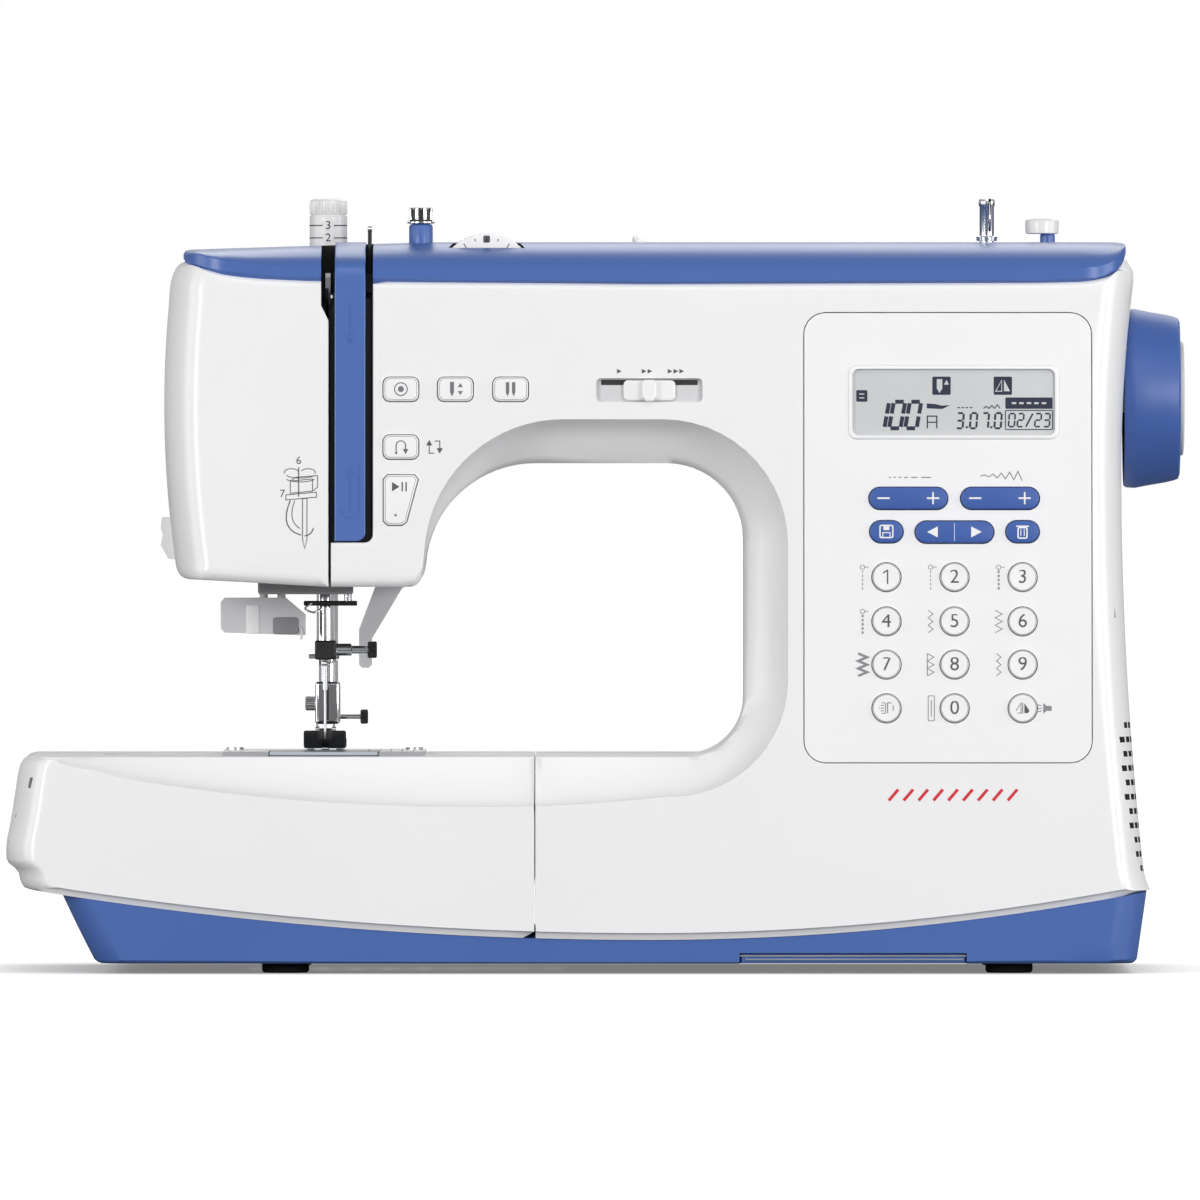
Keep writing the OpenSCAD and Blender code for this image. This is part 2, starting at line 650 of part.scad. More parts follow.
module thread_posts() {
  color("silver") {
    // bobbin winding tension post
    rod_z(-63.4, -28, 255, 275, 2);
    rod_z(-63.4, -28, 270.2, 271.2, 5);
    rod_z(-63.4, -28, 271.6, 275.7, 4.3);
    // hooked guide at the top of the right slot
    block(-82.4, -81.2, -40, -32, 256, 268.2);
    rod_x(-82.4, -81.2, -36, 268, 1.1);
    // spool pin, and its cap
    rod_x(16, 112, spool_y, spool_z, 2.6);
  }
  color("royalblue") {
    difference() { rod_z(-63.4, -28, top_z, 269.8, 4.5); rod_z(-63.4, -28, 262, 270, 2); }
    difference() { rod_z(163.3, -8, top_z, 266.2, 2.7); rod_z(163.3, -8, 262, 267, 2); }
  }
  color("white") {
    rod_z(163.3, -8, 256, 268, 2);
    translate([161.3, -8, 266.2]) cylinder(r = 6.1, h = 5.6);
    difference() {
      translate([13, spool_y, spool_z]) rotate([0, 90, 0]) cylinder(r1 = 13.6, r2 = 7, h = 24);
      rod_x(12, 40, spool_y, spool_z, 2.6);
    }
  }
}
module speed_slider() {
  color("white") on_face() {
    slab(0.8, 3.4) round_rect(slider_x, slider_z, slider_w, 7.8, 1.6);
    slab(-2.2, 1) round_rect(slider_x, slider_z, 4.6, 7.4, 1);
    slab(3.4, 6) round_rect(slider_x, slider_z, 6, 5, 1);
  }
}
module carry_handle() {
  color("white") {
    for (x = [handle_x0, handle_x1]) {
      rod_x(x - 3, x + 3, handle_y, handle_z, 2.5);
      s = x == handle_x0 ? 1 : -1;
      rod_x(min(x + 3 * s, x + 9 * s), max(x + 3 * s, x + 9 * s), handle_y, handle_z, 5);
      block(min(x + 3.4 * s, x + 9 * s), max(x + 3.4 * s, x + 9 * s), handle_y - 4, handle_y + 4,
        handle_z - 38, handle_z);
    }
    block(handle_x0 + 3.4, handle_x1 - 3.4, handle_y - 4.5, handle_y + 4.5, handle_z - 46, handle_z - 36);
  }
}
module winder_spindle() {
  color("silver") {
    rod_z(141.3, -8, 250, 279, 2.9);
    rod_z(141.3, -8, 263.6, 265.4, 3.8);
    rod_z(141.3, -8, 240, 250, 6);
  }
}
module feed_dog() {
  color("silver") {
    block(needle_x - 8, needle_x + 8, 3.8, 23.4, 73, bed_z - 2.2);
    for (x = [-5.2, 5.2]) block(needle_x + x - 1.1, needle_x + x + 1.1, 4.2, 22, 75, 79.6);
    block(needle_x - 1.1, needle_x + 1.1, 9, 22, 75, 79.6);
    block(needle_x - 4, needle_x + 4, 14, 18, 64, 73.2);
  }
}

// ================= extension table =================
module table_edge(t) {
  polygon(concat(
    belly_run(-192.4, table_x - seam, seam + t, 14),
    [[table_x - seam, bed_z - t], [-205 + t, bed_z - t], [-207.4 + t, 76.6 - t], [-209.2 + t, 69],
     [-211.3 + t, 55.4], [table_end_x + t, 46], [table_end_x + t, 39.6], [-208.4 + t, 36.4],
     [-207.7 + t, 33], [-205.4 + t, 30.6 + t]]));
}
module extension_table() {
  color("white") difference() {
    intersection() { slab(-90, rear_y) table_edge(0); behind_face(0); }
    // hollow, open underneath
    intersection() {
      slab(-90, rear_y - wall) union() {
        intersection() { table_edge(wall); translate([-230, 0]) square([208 - seam - wall, 90]); }
        polygon([[-205, 5], [table_x - seam - wall, 5], [table_x - seam - wall, 40], [-205, 40]]);
      }
      difference() {
        behind_face(wall);
        bevel_cut(wall);
        table_well(wall);
      }
    }
    bevel_cut(0);
    table_well(0);
    block(-200, 0, -80, 80, 0, 32);
  }
}
// well that the free arm fits in
module table_well(t) {
  block(arm_end_x, 0, -arm_half - 0.4 - t, arm_half + 0.4 + t, 5, 90);
  rod_z(arm_end_x, 0, 5, 90, arm_half + 0.4 + t);
}

// ================= keys =================
key_out = 0.9;     // how far the keys stand out of the panel
key_in = 6.4;      // how far they reach behind it
rocker_depth = 4.2;  // the rocking keys' pivot, behind the face
rocker_pin = 5.4;    // half the length of its pin
module round_key(i) {
  color("white") on_face() slab(-key_out, key_in)
    translate([key_x[i % 3], key_rows[floor(i / 3)]]) circle(key_r);
}
module pill_key(x, z, w) {
  color("royalblue") on_face() slab(-key_out, key_in) pill(x, z, w, 0);
}
// rocking key with a pivot pin behind the panel
module rocker_key(x, z, w) {
  pill_key(x, z, w);
  color("royalblue") on_face() rod_z(x, rocker_depth, z - rocker_pin, z + rocker_pin, 1.2);
}
module arm_key(x, z) {
  color("white") on_face() slab(-key_out, key_in) round_rect(x, z, arm_key_w, arm_key_h, 2.3);
}

module start_key() {
  color("white") on_face() slab(-key_out, key_in) start_face(0);
}

base_tray();
rubber_feet();
chassis();
front_shell();
rear_shell();
face_cover();
top_cover();
thread_guide();
control_panel();
lcd_display();
free_arm_cover();
needle_plate();
casing_screws();
power_inlet();
main_motor();
thread_posts();
handwheel();
main_shaft();
motor_pulley();
rotary_hook();
bobbin();
bobbin_cover();
needle_bar_frame();
needle_bar();
needle();
presser_bar();
presser_foot();
lifter_lever();
needle_threader();
take_up_lever();
tension_dial();
pressure_dial();
speed_slider();
extension_table();
carry_handle();
winder_spindle();
power_switch();
feed_dog();
round_key(0);  // key_1
round_key(1);  // key_2
round_key(2);  // key_3
round_key(3);  // key_4
round_key(4);  // key_5
round_key(5);  // key_6
round_key(6);  // key_7
round_key(7);  // key_8
round_key(8);  // key_9
round_key(9);  // key_mode
round_key(10);  // key_0
round_key(11);  // key_mirror
rocker_key(pill_x[0], pill_row1, pill_w);  // key_length
rocker_key(pill_x[1], pill_row1, pill_w);  // key_width
pill_key(key_x[0], pill_row2, short_pill_w);  // key_save
rocker_key(key_x[1], pill_row2, pill_w);  // key_cursor
pill_key(key_x[2], pill_row2, short_pill_w);  // key_delete
arm_key(arm_key_x[0], arm_key_z);  // button_lock_stitch
arm_key(arm_key_x[1], arm_key_z);  // button_needle_up_down
arm_key(arm_key_x[2], arm_key_z);  // button_twin_needle
arm_key(arm_key_x[0], reverse_z);  // button_reverse
start_key();  // button_start_stop
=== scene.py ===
"""Looks of a computerised sewing machine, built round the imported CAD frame.

Lengths are in millimetres. +X runs from the table end to the handwheel, +Y to the back, +Z up.
The front face is a plane that leans back. Pieces on it are drawn in (x, depth, height) on that plane.
"""
import math

import bmesh
import bpy
import numpy as np
from mathutils import Matrix, Vector
from mathutils.geometry import tessellate_polygon


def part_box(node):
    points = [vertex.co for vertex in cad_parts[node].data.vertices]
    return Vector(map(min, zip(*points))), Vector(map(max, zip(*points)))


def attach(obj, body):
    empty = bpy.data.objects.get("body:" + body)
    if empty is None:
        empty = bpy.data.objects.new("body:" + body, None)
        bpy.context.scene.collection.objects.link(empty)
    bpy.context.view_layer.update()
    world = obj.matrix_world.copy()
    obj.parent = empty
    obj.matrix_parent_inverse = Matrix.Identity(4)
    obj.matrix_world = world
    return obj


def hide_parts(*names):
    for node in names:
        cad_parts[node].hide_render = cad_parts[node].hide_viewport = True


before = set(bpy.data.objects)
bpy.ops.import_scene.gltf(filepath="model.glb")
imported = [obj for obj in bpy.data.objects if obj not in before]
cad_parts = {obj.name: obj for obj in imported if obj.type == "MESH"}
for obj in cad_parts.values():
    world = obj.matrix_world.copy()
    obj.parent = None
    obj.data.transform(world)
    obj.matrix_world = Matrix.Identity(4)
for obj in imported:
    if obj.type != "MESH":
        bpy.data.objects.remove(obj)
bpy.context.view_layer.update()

MM = 0.001
BODY = "machine_body"


def box_of(node):
    """Lowest and highest corner of a CAD node, in millimetres."""
    low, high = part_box(node)
    return np.array(low) / MM, np.array(high) / MM


def centre_of(node):
    return sum(box_of(node)) / 2


# ---------------------------------------------------------------- main sizes, from the frame
front_low, front_high = box_of("front_shell")
table_low, table_high = box_of("extension_table")
face_low, face_high = box_of("face_cover")
cover_low, cover_high = box_of("top_cover")
tray_low, tray_high = box_of("base_tray")

LEAN = 0.1                          # the front face leans back by 1 in 10
LEAN_ANGLE = math.atan(LEAN)
FACE_FOOT = front_low[1] - LEAN * (front_low[2] + 0.3)
SPLIT = front_high[1]               # joint between the front and the rear casing
BED = table_high[2]
SEAM_X = -22.0                      # joint between the table and the rest of the bed
ARM_BACK = face_high[1]
COLUMN_BACK = 58.0
BED_BACK = box_of("rear_shell")[1][1]
STRIP_LOW = box_of("thread_guide")[0][2]
SLOT_RIGHT = -80.5                  # right edge of the right thread slot
HEAD_SEAM = face_high[0]            # joint between the face cover and the rest of the head
HEAD_BOTTOM = face_low[2]
SHAFT_Z = centre_of("handwheel")[2]
NEEDLE_X = -98.3
PRESSER = (-97.2, 12.0)             # presser bar, in plan
SPOOL = (26, 252)                   # line of the spool pin, as (y, z)
SIDE_TOP = 256.6                    # upper end of the casings' right side
FRAME_WIDTH = 0.432                 # width of the picture at the machine, in metres


def face_y(z):
    return FACE_FOOT + LEAN * z


FACE_MATRIX = Matrix.Translation((0, FACE_FOOT, 0)) @ Matrix.Rotation(-LEAN_ANGLE, 4, "X")


# ---------------------------------------------------------------- materials
def linear(r, g, b):
    """Colour given as sRGB values from 0 to 255, as the shader wants it."""
    def one(c):
        c = c / 255
        return c / 12.92 if c <= 0.04045 else ((c + 0.055) / 1.055) ** 2.4
    return (one(r), one(g), one(b), 1.0)


def set_inputs(node, **values):
    """Sets a node's inputs by name, with _ for a space."""
    for name, value in values.items():
        node.inputs[name.replace("_", " ")].default_value = value
    return node


def add_node(tree, kind, **values):
    return set_inputs(tree.nodes.new("ShaderNode" + kind), **values)


def material(name, color, roughness, metallic=0.0, coat=0.0, grain=0.12, grain_size=0.35, uneven=0.05,
             stretch=(1, 1, 1), tint=0.03):
    """Principled shader with a fine moulded or brushed grain and a broad, slight unevenness."""
    mat = bpy.data.materials.new(name)
    mat.use_nodes = True
    tree = mat.node_tree
    link = tree.links.new
    shader = set_inputs(tree.nodes["Principled BSDF"], Metallic=metallic, Coat_Weight=coat, Coat_Roughness=0.12)
    coords = add_node(tree, "TexCoord")
    mapping = add_node(tree, "Mapping", Scale=stretch)
    fine = add_node(tree, "TexNoise", Scale=1 / (grain_size * MM), Detail=3)
    broad = add_node(tree, "TexNoise", Scale=22, Detail=4)
    bump = add_node(tree, "Bump", Strength=grain, Distance=0.05 * MM)
    rough = add_node(tree, "MapRange", To_Min=max(0.02, roughness - uneven), To_Max=roughness + uneven)
    shade = add_node(tree, "Mix")
    shade.data_type = "RGBA"
    set_inputs(shade, A=tuple(c * (1 - tint) for c in color[:3]) + (1,), B=color)
    link(coords.outputs["Object"], mapping.inputs["Vector"])
    for noise in (fine, broad):
        link(mapping.outputs["Vector"], noise.inputs["Vector"])
    link(fine.outputs["Fac"], bump.inputs["Height"])
    link(bump.outputs["Normal"], shader.inputs["Normal"])
    link(broad.outputs["Fac"], rough.inputs["Value"])
    link(rough.outputs["Result"], shader.inputs["Roughness"])
    link(broad.outputs["Fac"], shade.inputs["Factor"])
    link(shade.outputs["Result"], shader.inputs["Base Color"])
    return mat


WHITE = material("white_abs", linear(240, 240, 241), 0.34, coat=0.15)
PANEL = material("panel_abs", linear(242, 242, 243), 0.42, grain_size=0.25)
BLUE = material("blue_abs", linear(72, 106, 176), 0.36, coat=0.1, tint=0.06)
BLUE_KEY = material("blue_key", linear(56, 92, 166), 0.42, tint=0.06)
BLUE_DARK = material("blue_wheel", linear(66, 100, 172), 0.42, tint=0.06)
# Grey plastic parts. As a cutter it also greys the walls of the finger groove in the table's end: painted shade.
GREY = material("grey_abs_and_groove_shade", linear(212, 212, 214), 0.45)
# Black plastic parts. As a cutter it also blackens the walls of the slots, vents and recesses it cuts, and it colours
# thin sheets behind openings: painted shade for their dark inside.
BLACK = material("black_abs_and_slot_shade", linear(24, 24, 26), 0.45)
RUBBER = material("rubber", linear(22, 22, 24), 0.8, grain=0.5, grain_size=0.6)
CHROME = material("chrome", linear(222, 223, 225), 0.12, metallic=1.0, grain=0.0, uneven=0.04)
BRIGHT = material("bright_steel", linear(214, 215, 217), 0.2, metallic=1.0, grain=0.0)
DIAL = material("white_dial", linear(234, 232, 227), 0.34, coat=0.15)
BRACKET = material("grey_bracket", linear(158, 159, 161), 0.45)
STEEL = material("ground_steel", linear(212, 213, 216), 0.3, metallic=1.0, stretch=(1, 14, 1), grain=0.3)
CAST = material("cast_metal", linear(150, 151, 154), 0.55, metallic=0.9, grain=0.5, grain_size=0.8)
# Dark steel parts. As a cutter it also darkens the walls of the head's pocket, the bar bore and small slots, and it
# draws the presser holder's groove: painted shade.
DARK_METAL_AND_SHADE = material("dark_steel_and_hollow_shade", linear(44, 45, 48), 0.5, metallic=0.3)
LCD_GREY = material("lcd_film", linear(204, 206, 208), 0.3, grain=0.03, grain_size=0.2)
LCD_FRAME = material("lcd_frame", linear(244, 244, 245), 0.35)
INK = material("lcd_ink", linear(34, 40, 62), 0.4, grain=0.05)
# Grey print. As a cutter it also greys the walls of the slot and holes in the table's end: painted shade.
PRINT_AND_SHADE = material("grey_print_and_recess_shade", linear(136, 136, 140), 0.55, grain=0.05)
PRINT_DARK = material("dark_print", linear(86, 86, 90), 0.55, grain=0.05)
SIGN = material("button_sign", linear(112, 112, 116), 0.55, grain=0.05)
RED = material("red_print", linear(208, 30, 48), 0.5, grain=0.05)
CLEAR = material("smoked_clear", linear(176, 184, 192), 0.15, grain=0.03)


# ---------------------------------------------------------------- meshes
def new_object(name, verts, faces, mat, sharp=40):
    mesh = bpy.data.meshes.new(name)
    mesh.from_pydata([tuple(float(c) * MM for c in v) for v in verts], [], faces)
    mesh.materials.append(mat)
    obj = bpy.data.objects.new(name, mesh)
    bpy.context.scene.collection.objects.link(obj)
    tidy(obj, sharp)
    return obj


def tidy(obj, sharp=40):
    """Merges doubled points, turns all faces outwards and shades smooth with sharp edges by angle."""
    work = bmesh.new()
    work.from_mesh(obj.data)
    bmesh.ops.remove_doubles(work, verts=work.verts, dist=0.001 * MM)
    bmesh.ops.recalc_face_normals(work, faces=work.faces)
    for face in work.faces:
        face.smooth = True
    work.to_mesh(obj.data)
    work.free()
    obj.data.set_sharp_from_angle(angle=math.radians(sharp))


def apply_modifiers(obj):
    graph = bpy.context.evaluated_depsgraph_get()
    mesh = bpy.data.meshes.new_from_object(obj.evaluated_get(graph))
    obj.modifiers.clear()
    obj.data = mesh


def boolean(obj, others, operation="DIFFERENCE"):
    """Cuts the other objects from obj, or joins them on, and removes them."""
    for other in others:
        mod = obj.modifiers.new("boolean", "BOOLEAN")
        mod.object = other
        mod.operation = operation
        mod.solver = "EXACT"
        mod.material_mode = "TRANSFER"
    apply_modifiers(obj)
    for other in others:
        bpy.data.objects.remove(other)
    tidy(obj)
    return obj


def weighted(obj):
    mod = obj.modifiers.new("normals", "WEIGHTED_NORMAL")
    mod.keep_sharp = True
    mod.weight = 80
    return obj


def join(name, objects):
    """One object from several, keeping their materials."""
    mesh = bpy.data.meshes.new(name)
    work = bmesh.new()
    for obj in objects:
        if obj.modifiers:
            apply_modifiers(obj)
        first = len(work.faces)
        offset = len(mesh.materials)
        for mat in obj.data.materials:
            mesh.materials.append(mat)
        work.from_mesh(obj.data)
        work.faces.ensure_lookup_table()
        for face in work.faces[first:]:
            face.material_index += offset
    work.to_mesh(mesh)
    work.free()
    for obj in objects:
        bpy.data.objects.remove(obj)
    result = bpy.data.objects.new(name, mesh)
    bpy.context.scene.collection.objects.link(result)
    return result


def piece(obj, body, slot, *nodes):
    """Hangs a finished piece on the body it rides on and hides the CAD nodes it stands for. The slot is not used."""
    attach(obj, body)
    if nodes:
        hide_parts(*nodes)


def node_piece(node, slot, *parts, body=None):
    """Joins the parts that stand for one CAD node, which is also the name of their body if none is given."""
    piece(join(node + "_piece", parts), body or node, slot, node)


def loft(name, loops, mat, sharp=40):
    """Closed skin through rings of equally many points, with flat ends."""
    count = len(loops[0])
    faces = []
    for ring in range(len(loops) - 1):
        a = ring * count
        for i in range(count):
            k = (i + 1) % count
            faces.append((a + i, a + k, a + count + k, a + count + i))
    last = (len(loops) - 1) * count
    for start, ring in ((0, loops[0]), (last, loops[-1])):
        flat = tessellate_polygon([[Vector(p) for p in ring]])
        faces += [tuple(start + i for i in corners) for corners in flat]
    return new_object(name, np.concatenate(loops), faces, mat, sharp)


def inset(outline, distance):
    """A closed outline moved inwards. Its points run anticlockwise."""
    points = np.asarray(outline, float)
    before = points - np.roll(points, 1, axis=0)
    after = np.roll(points, -1, axis=0) - points
    def normal(edge):
        length = np.maximum(np.linalg.norm(edge, axis=1, keepdims=True), 1e-9)
        return np.c_[-edge[:, 1], edge[:, 0]] / length
    mean = normal(before) + normal(after)
    length = np.maximum(np.linalg.norm(mean, axis=1, keepdims=True), 0.6)
    return points + mean / length * distance * np.minimum(2 / length, 1.4)


def arc(cx, cy, rx, start, end, count, ry=None):
    """Points of an arc, its angles in degrees."""
    angle = np.radians(np.linspace(start, end, count))
    return np.c_[cx + rx * np.cos(angle), cy + (ry or rx) * np.sin(angle)]


def rounded(x, z, w, h, r, steps=6):
    """Outline of a rounded rectangle about its centre, anticlockwise."""
    a, b = w / 2 - r, h / 2 - r
    return np.concatenate([arc(x + a, z - b, r, -90, 0, steps), arc(x + a, z + b, r, 0, 90, steps),
                           arc(x - a, z + b, r, 90, 180, steps), arc(x - a, z - b, r, 180, 270, steps)])


def circle(x, z, r, steps=48):
    return arc(x, z, r, 0, 360 - 360 / steps, steps)


def to_face(obj):
    """Moves a piece drawn as (x, depth, height) onto the leaning face."""
    matrix = FACE_MATRIX.copy()
    matrix.translation *= MM
    obj.data.transform(matrix)
    return obj


def at_depth(ring, y):
    """Points (x, z) at a depth y."""
    ring = np.asarray(ring)
    return np.c_[ring[:, 0], np.full(len(ring), y), ring[:, 1]]


def at_side(ring, x):
    """Points (y, z) at a place x."""
    return np.c_[np.full(len(ring), x), ring]


def front_edge(outline, y, edge):
    """Rings of a front end, with a rounded edge."""
    for turn in (0, 30, 60, 90) if edge else (90,):
        a = math.radians(turn)
        yield at_depth(inset(outline, edge * (1 - math.sin(a))), y + edge * (1 - math.cos(a)))


def back_edge(outline, y, edge):
    """Rings of a back end, with a rounded edge."""
    for turn in (0, 22, 45, 68, 90) if edge else (90,):
        a = math.radians(turn)
        yield at_depth(inset(outline, edge * (1 - math.cos(a))), y - edge * (1 - math.sin(a)))


def face_block(outline, front, back, mat, edge=0.3, dish=0.0, name="plate"):
    """A button or plate on the face, with a rounded front edge. dish sinks the middle of its front."""
    outline = np.asarray(outline)
    middle = np.mean(outline, axis=0)
    loops = [at_depth(middle + (outline - middle) * share, front + dish * (1 - share ** 2))
             for share in ((0.05, 0.4, 0.7) if dish else ())]
    return to_face(loft(name, loops + [*front_edge(outline, front, edge), at_depth(outline, back)], mat))


def face_cutter(outlines, front, back):
    """Prisms on the face, to be cut away."""
    return join("cutter", [face_block(outline, front, back, WHITE, 0.001) for outline in outlines])


def block(x0, x1, y0, y1, z0, z1, mat=WHITE, name="block"):
    verts = [(x, y, z) for x in (x0, x1) for y in (y0, y1) for z in (z0, z1)]
    faces = [(0, 1, 3, 2), (4, 6, 7, 5), (0, 4, 5, 1), (2, 3, 7, 6), (0, 2, 6, 4), (1, 5, 7, 3)]
    return new_object(name, verts, faces, mat)


def bevelled(obj, width=0.4, segments=2):
    mod = obj.modifiers.new("bevel", "BEVEL")
    mod.width = width * MM
    mod.segments = segments
    mod.limit_method = "ANGLE"
    mod.angle_limit = math.radians(35)
    return weighted(obj)


AXES = {"X": Matrix(((0, 0, 1), (0, 1, 0), (-1, 0, 0))), "Y": Matrix(((1, 0, 0), (0, 0, 1), (0, -1, 0))),
        "Z": Matrix.Identity(3)}


def lathe(profile, origin, axis, mat, steps=64, ribs=0, rib_depth=0.0, rib_span=(0, 0)):
    """Turned piece. The profile is (place along the axis, radius), and ribs run along it over rib_span."""
    angle = np.linspace(0, 2 * math.pi, steps, endpoint=False)
    loops = []
    for along, radius in profile:
        r = np.full(steps, max(radius, 0.02))
        if ribs and rib_span[0] <= along <= rib_span[1]:
            r = r - rib_depth * (0.5 + 0.5 * np.cos(angle * ribs))
        ring = np.c_[r * np.cos(angle), r * np.sin(angle), np.full(steps, along)]
        loops.append(ring @ np.array(AXES[axis]).T + np.array(origin))
    return loft("turned", loops, mat)


def drum(r, start, end, origin, axis="Z", mat=WHITE, steps=48):
    """Plain cylinder between two places along the axis."""
    return lathe([(start, r), (end, r)], origin, axis, mat, steps)


# ---------------------------------------------------------------- printed marks
class Marks:
    """Thin raised print on the face: filled outlines, lines and numerals, drawn about the place at."""

    def __init__(self, depth, thickness=0.07, at=(0, 0)):
        self.verts, self.faces, self.at = [], [], at
        self.near, self.far = depth - thickness, depth + 0.02

    def prism(self, faces, points, walls):
        """Adds faces over 2D points, in front and behind, with walls between them."""
        start, count = len(self.verts), len(points)
        for depth in (self.near, self.far):
            self.verts += [(self.at[0] + p[0], depth, self.at[1] + p[1]) for p in points]
        self.faces += [tuple(start + i for i in face) for face in faces]
        self.faces += [tuple(start + count + i for i in reversed(face)) for face in faces]
        self.faces += [(start + a, start + b, start + count + b, start + count + a) for a, b in walls]

    def fill(self, outline):
        count = len(outline)
        self.prism([tuple(range(count))], outline, [(i, (i + 1) % count) for i in range(count)])

    def line(self, points, width, closed=False):
        points = np.asarray(points, float)
        ahead = np.roll(points, -1, axis=0) - points
        if not closed:
            ahead[-1] = ahead[-2]
        ahead /= np.maximum(np.linalg.norm(ahead, axis=1, keepdims=True), 1e-9)
        back = np.roll(ahead, 1, axis=0)
        if not closed:
            back[0] = ahead[0]
        mean = ahead + back
        length = np.maximum(np.linalg.norm(mean, axis=1, keepdims=True), 0.7)
        side = np.c_[-mean[:, 1], mean[:, 0]] / length ** 2 * width
        count = len(points)
        steps = [(i, (i + 1) % count) for i in range(count if closed else count - 1)]
        walls = steps + [(count + k, count + i) for i, k in steps]
        if not closed:
            walls += [(count, 0), (count - 1, 2 * count - 1)]
        quads = [(i, k, count + k, count + i) for i, k in steps]
        self.prism(quads, np.concatenate([points + side, points - side]), walls)

    def text(self, words, size, x=0, z=0):
        """Plain numerals, centred."""
        curve = bpy.data.curves.new("numeral", "FONT")
        curve.body, curve.size, curve.resolution_u = words, size, 4
        curve.align_x = curve.align_y = "CENTER"
        obj = bpy.data.objects.new("numeral", curve)
        bpy.context.scene.collection.objects.link(obj)
        graph = bpy.context.evaluated_depsgraph_get()
        mesh = bpy.data.meshes.new_from_object(obj.evaluated_get(graph))
        faces = [tuple(p.vertices) for p in mesh.polygons]
        edges = {(a, b): True for face in faces for a, b in zip(face, face[1:] + face[:1])}
        self.prism(faces, [(v.co.x + x, v.co.y + z) for v in mesh.vertices],
                   [(a, b) for a, b in edges if (b, a) not in edges])
        bpy.data.objects.remove(obj)
        bpy.data.meshes.remove(mesh)

    def build(self, mat, name="marks", on_face=True):
        obj = new_object(name, self.verts, self.faces, mat, sharp=30)
        return to_face(obj) if on_face else obj


# ---------------------------------------------------------------- casing outlines
BELLY_X, BELLY_Z = 19.0, 11.9       # lowest point of the casings' lower edge
THREAD_SLOT_Z = STRIP_LOW - 0.6


def belly(x):
    radius = np.where(x < BELLY_X, 1383.0, 924.0)
    return BELLY_Z + (x - BELLY_X) ** 2 / (2 * radius)


def right_x(z):
    """Right side of the column, flared at the foot and rounded over beside the cover."""
    bow = np.where(z > 180, 0.00094, 0.00038) * (z - 180) ** 2
    flare = 1.5 * np.clip((38 - z) / 8, 0, 1) ** 2
    shoulder = 3.6 * np.clip((z - 249.5) / 7.1, 0, 1) ** 2.2
    return 189.4 + bow + flare - shoulder


FOOT_X, FOOT_Z = 199.4, 29.9        # lower right corner of the casings


def left_x(z):
    return -156 + 0.00125 * (z - 205) ** 2


def crest(x):
    """Height of the ridge along the front of the bed."""
    left = 17 * np.clip((-40 - x) / 163, 0, None) ** 2.2
    right = 4 * np.clip((x + 40) / 68, 0, None) ** 2
    return 60 + left + right


def lip(x):
    """Lower edge of the top cover, which turns up at both ends."""
    at = (-149, -146, -141, -135, -128, -121, -105, -60, 20, 160, 175, 181, 185, 187, 189, 190.4, 191)
    height = (257, 255.4, 253.8, 252.5, 251.5, 250.8, 250, 249.4, 248.7, 249.2, 249.6, 250.2, 251.3, 252.6, 254.8,
              257.2, 259)
    return np.interp(x, at, height)


ROUND, COVE, BELLY = 0, 1, 2          # how the front edge runs in
DEPTHS = (0, 0.25, 0.6, 1.1, 1.8, 2.5, 3.4, 4.6, 6, 7.5, 9, 10.5, 12, 13.5, 15, 17, 19.5, 22, 26)


def falloff(depth, reach, kind):
    """How much of the front edge's inset is left at a depth."""
    u = np.clip(depth / reach, 0, 1)
    shapes = (1 - np.sqrt(np.clip(1 - (1 - u) ** 2, 0, 1)), 1 - u ** 2.5)
    return np.choose(np.minimum(kind, COVE), shapes)


def columns(x, z):
    """Points (x, z) from places and heights, either of which may be a single number."""
    return np.c_[tuple(np.broadcast_arrays(x, z))]


def stretch_of(full, front, x=(0.8, ROUND), z=(0.8, ROUND)):
    """One run of a casing's outline: its points, those in the front face, and how each axis runs in."""
    full, front = np.asarray(full, float), np.asarray(front, float)
    n = len(full)
    return full, front, np.zeros(n) + x[0], np.full(n, x[1]), np.zeros(n) + z[0], np.full(n, z[1])


def belly_run(x, front_x, reach):
    """Run along the lower edge."""
    return stretch_of(columns(x, belly(x) + 0.3), columns(front_x, belly(front_x) + 2.8), (reach, ROUND), (2.5, BELLY))


def under_lip(x):
    """Points along the upper edge, under the cover's lip."""
    return columns(x, np.minimum(lip(x), 257) - 0.4)


def casing(name, runs, back, back_round, mat):
    """Casing from the leaning front face to the plane y = back."""
    full, front, reach_x, kind_x, reach_z, kind_z = (np.concatenate(part) for part in zip(*runs))
    loops = []
    for depth in DEPTHS:
        share = np.c_[falloff(depth, reach_x, kind_x), falloff(depth, reach_z, kind_z)]
        x, z = (full + (front - full) * share).T
        z = np.where(kind_z == BELLY, belly(x) + 0.3 + 2.5 * share[:, 1], z)
        rim = np.minimum(lip(x), 257) - 0.4 - 2.4 * falloff(depth, 3.0, np.zeros(len(x), int))
        z = np.where(z > 236, np.minimum(z, rim), z)
        loops.append(np.c_[x, face_y(z) + depth, z])
    return loft(name, loops + [*back_edge(full, back, back_round)], mat, sharp=50)


def slab_y(name, outline, y0, y1, mat, edge0=0.0, edge1=0.0):
    """Outline in (x, z) carried along Y, with rounded ends."""
    return loft(name, [*front_edge(outline, y0, edge0), *back_edge(outline, y1, edge1)], mat)


def slab_z(outline, z0, z1, mat):
    """Outline in plan carried upwards."""
    return loft("slab", [np.c_[outline, np.full(len(outline), z)] for z in (z0, z1)], mat)


def part_way(start, end, count):
    return np.linspace(start, end, count, endpoint=False)


def bezier(a, b, c, count):
    t = part_way(0, 1, count)[:, None]
    return (1 - t) ** 2 * np.array(a) + 2 * t * (1 - t) * np.array(b) + t ** 2 * np.array(c)


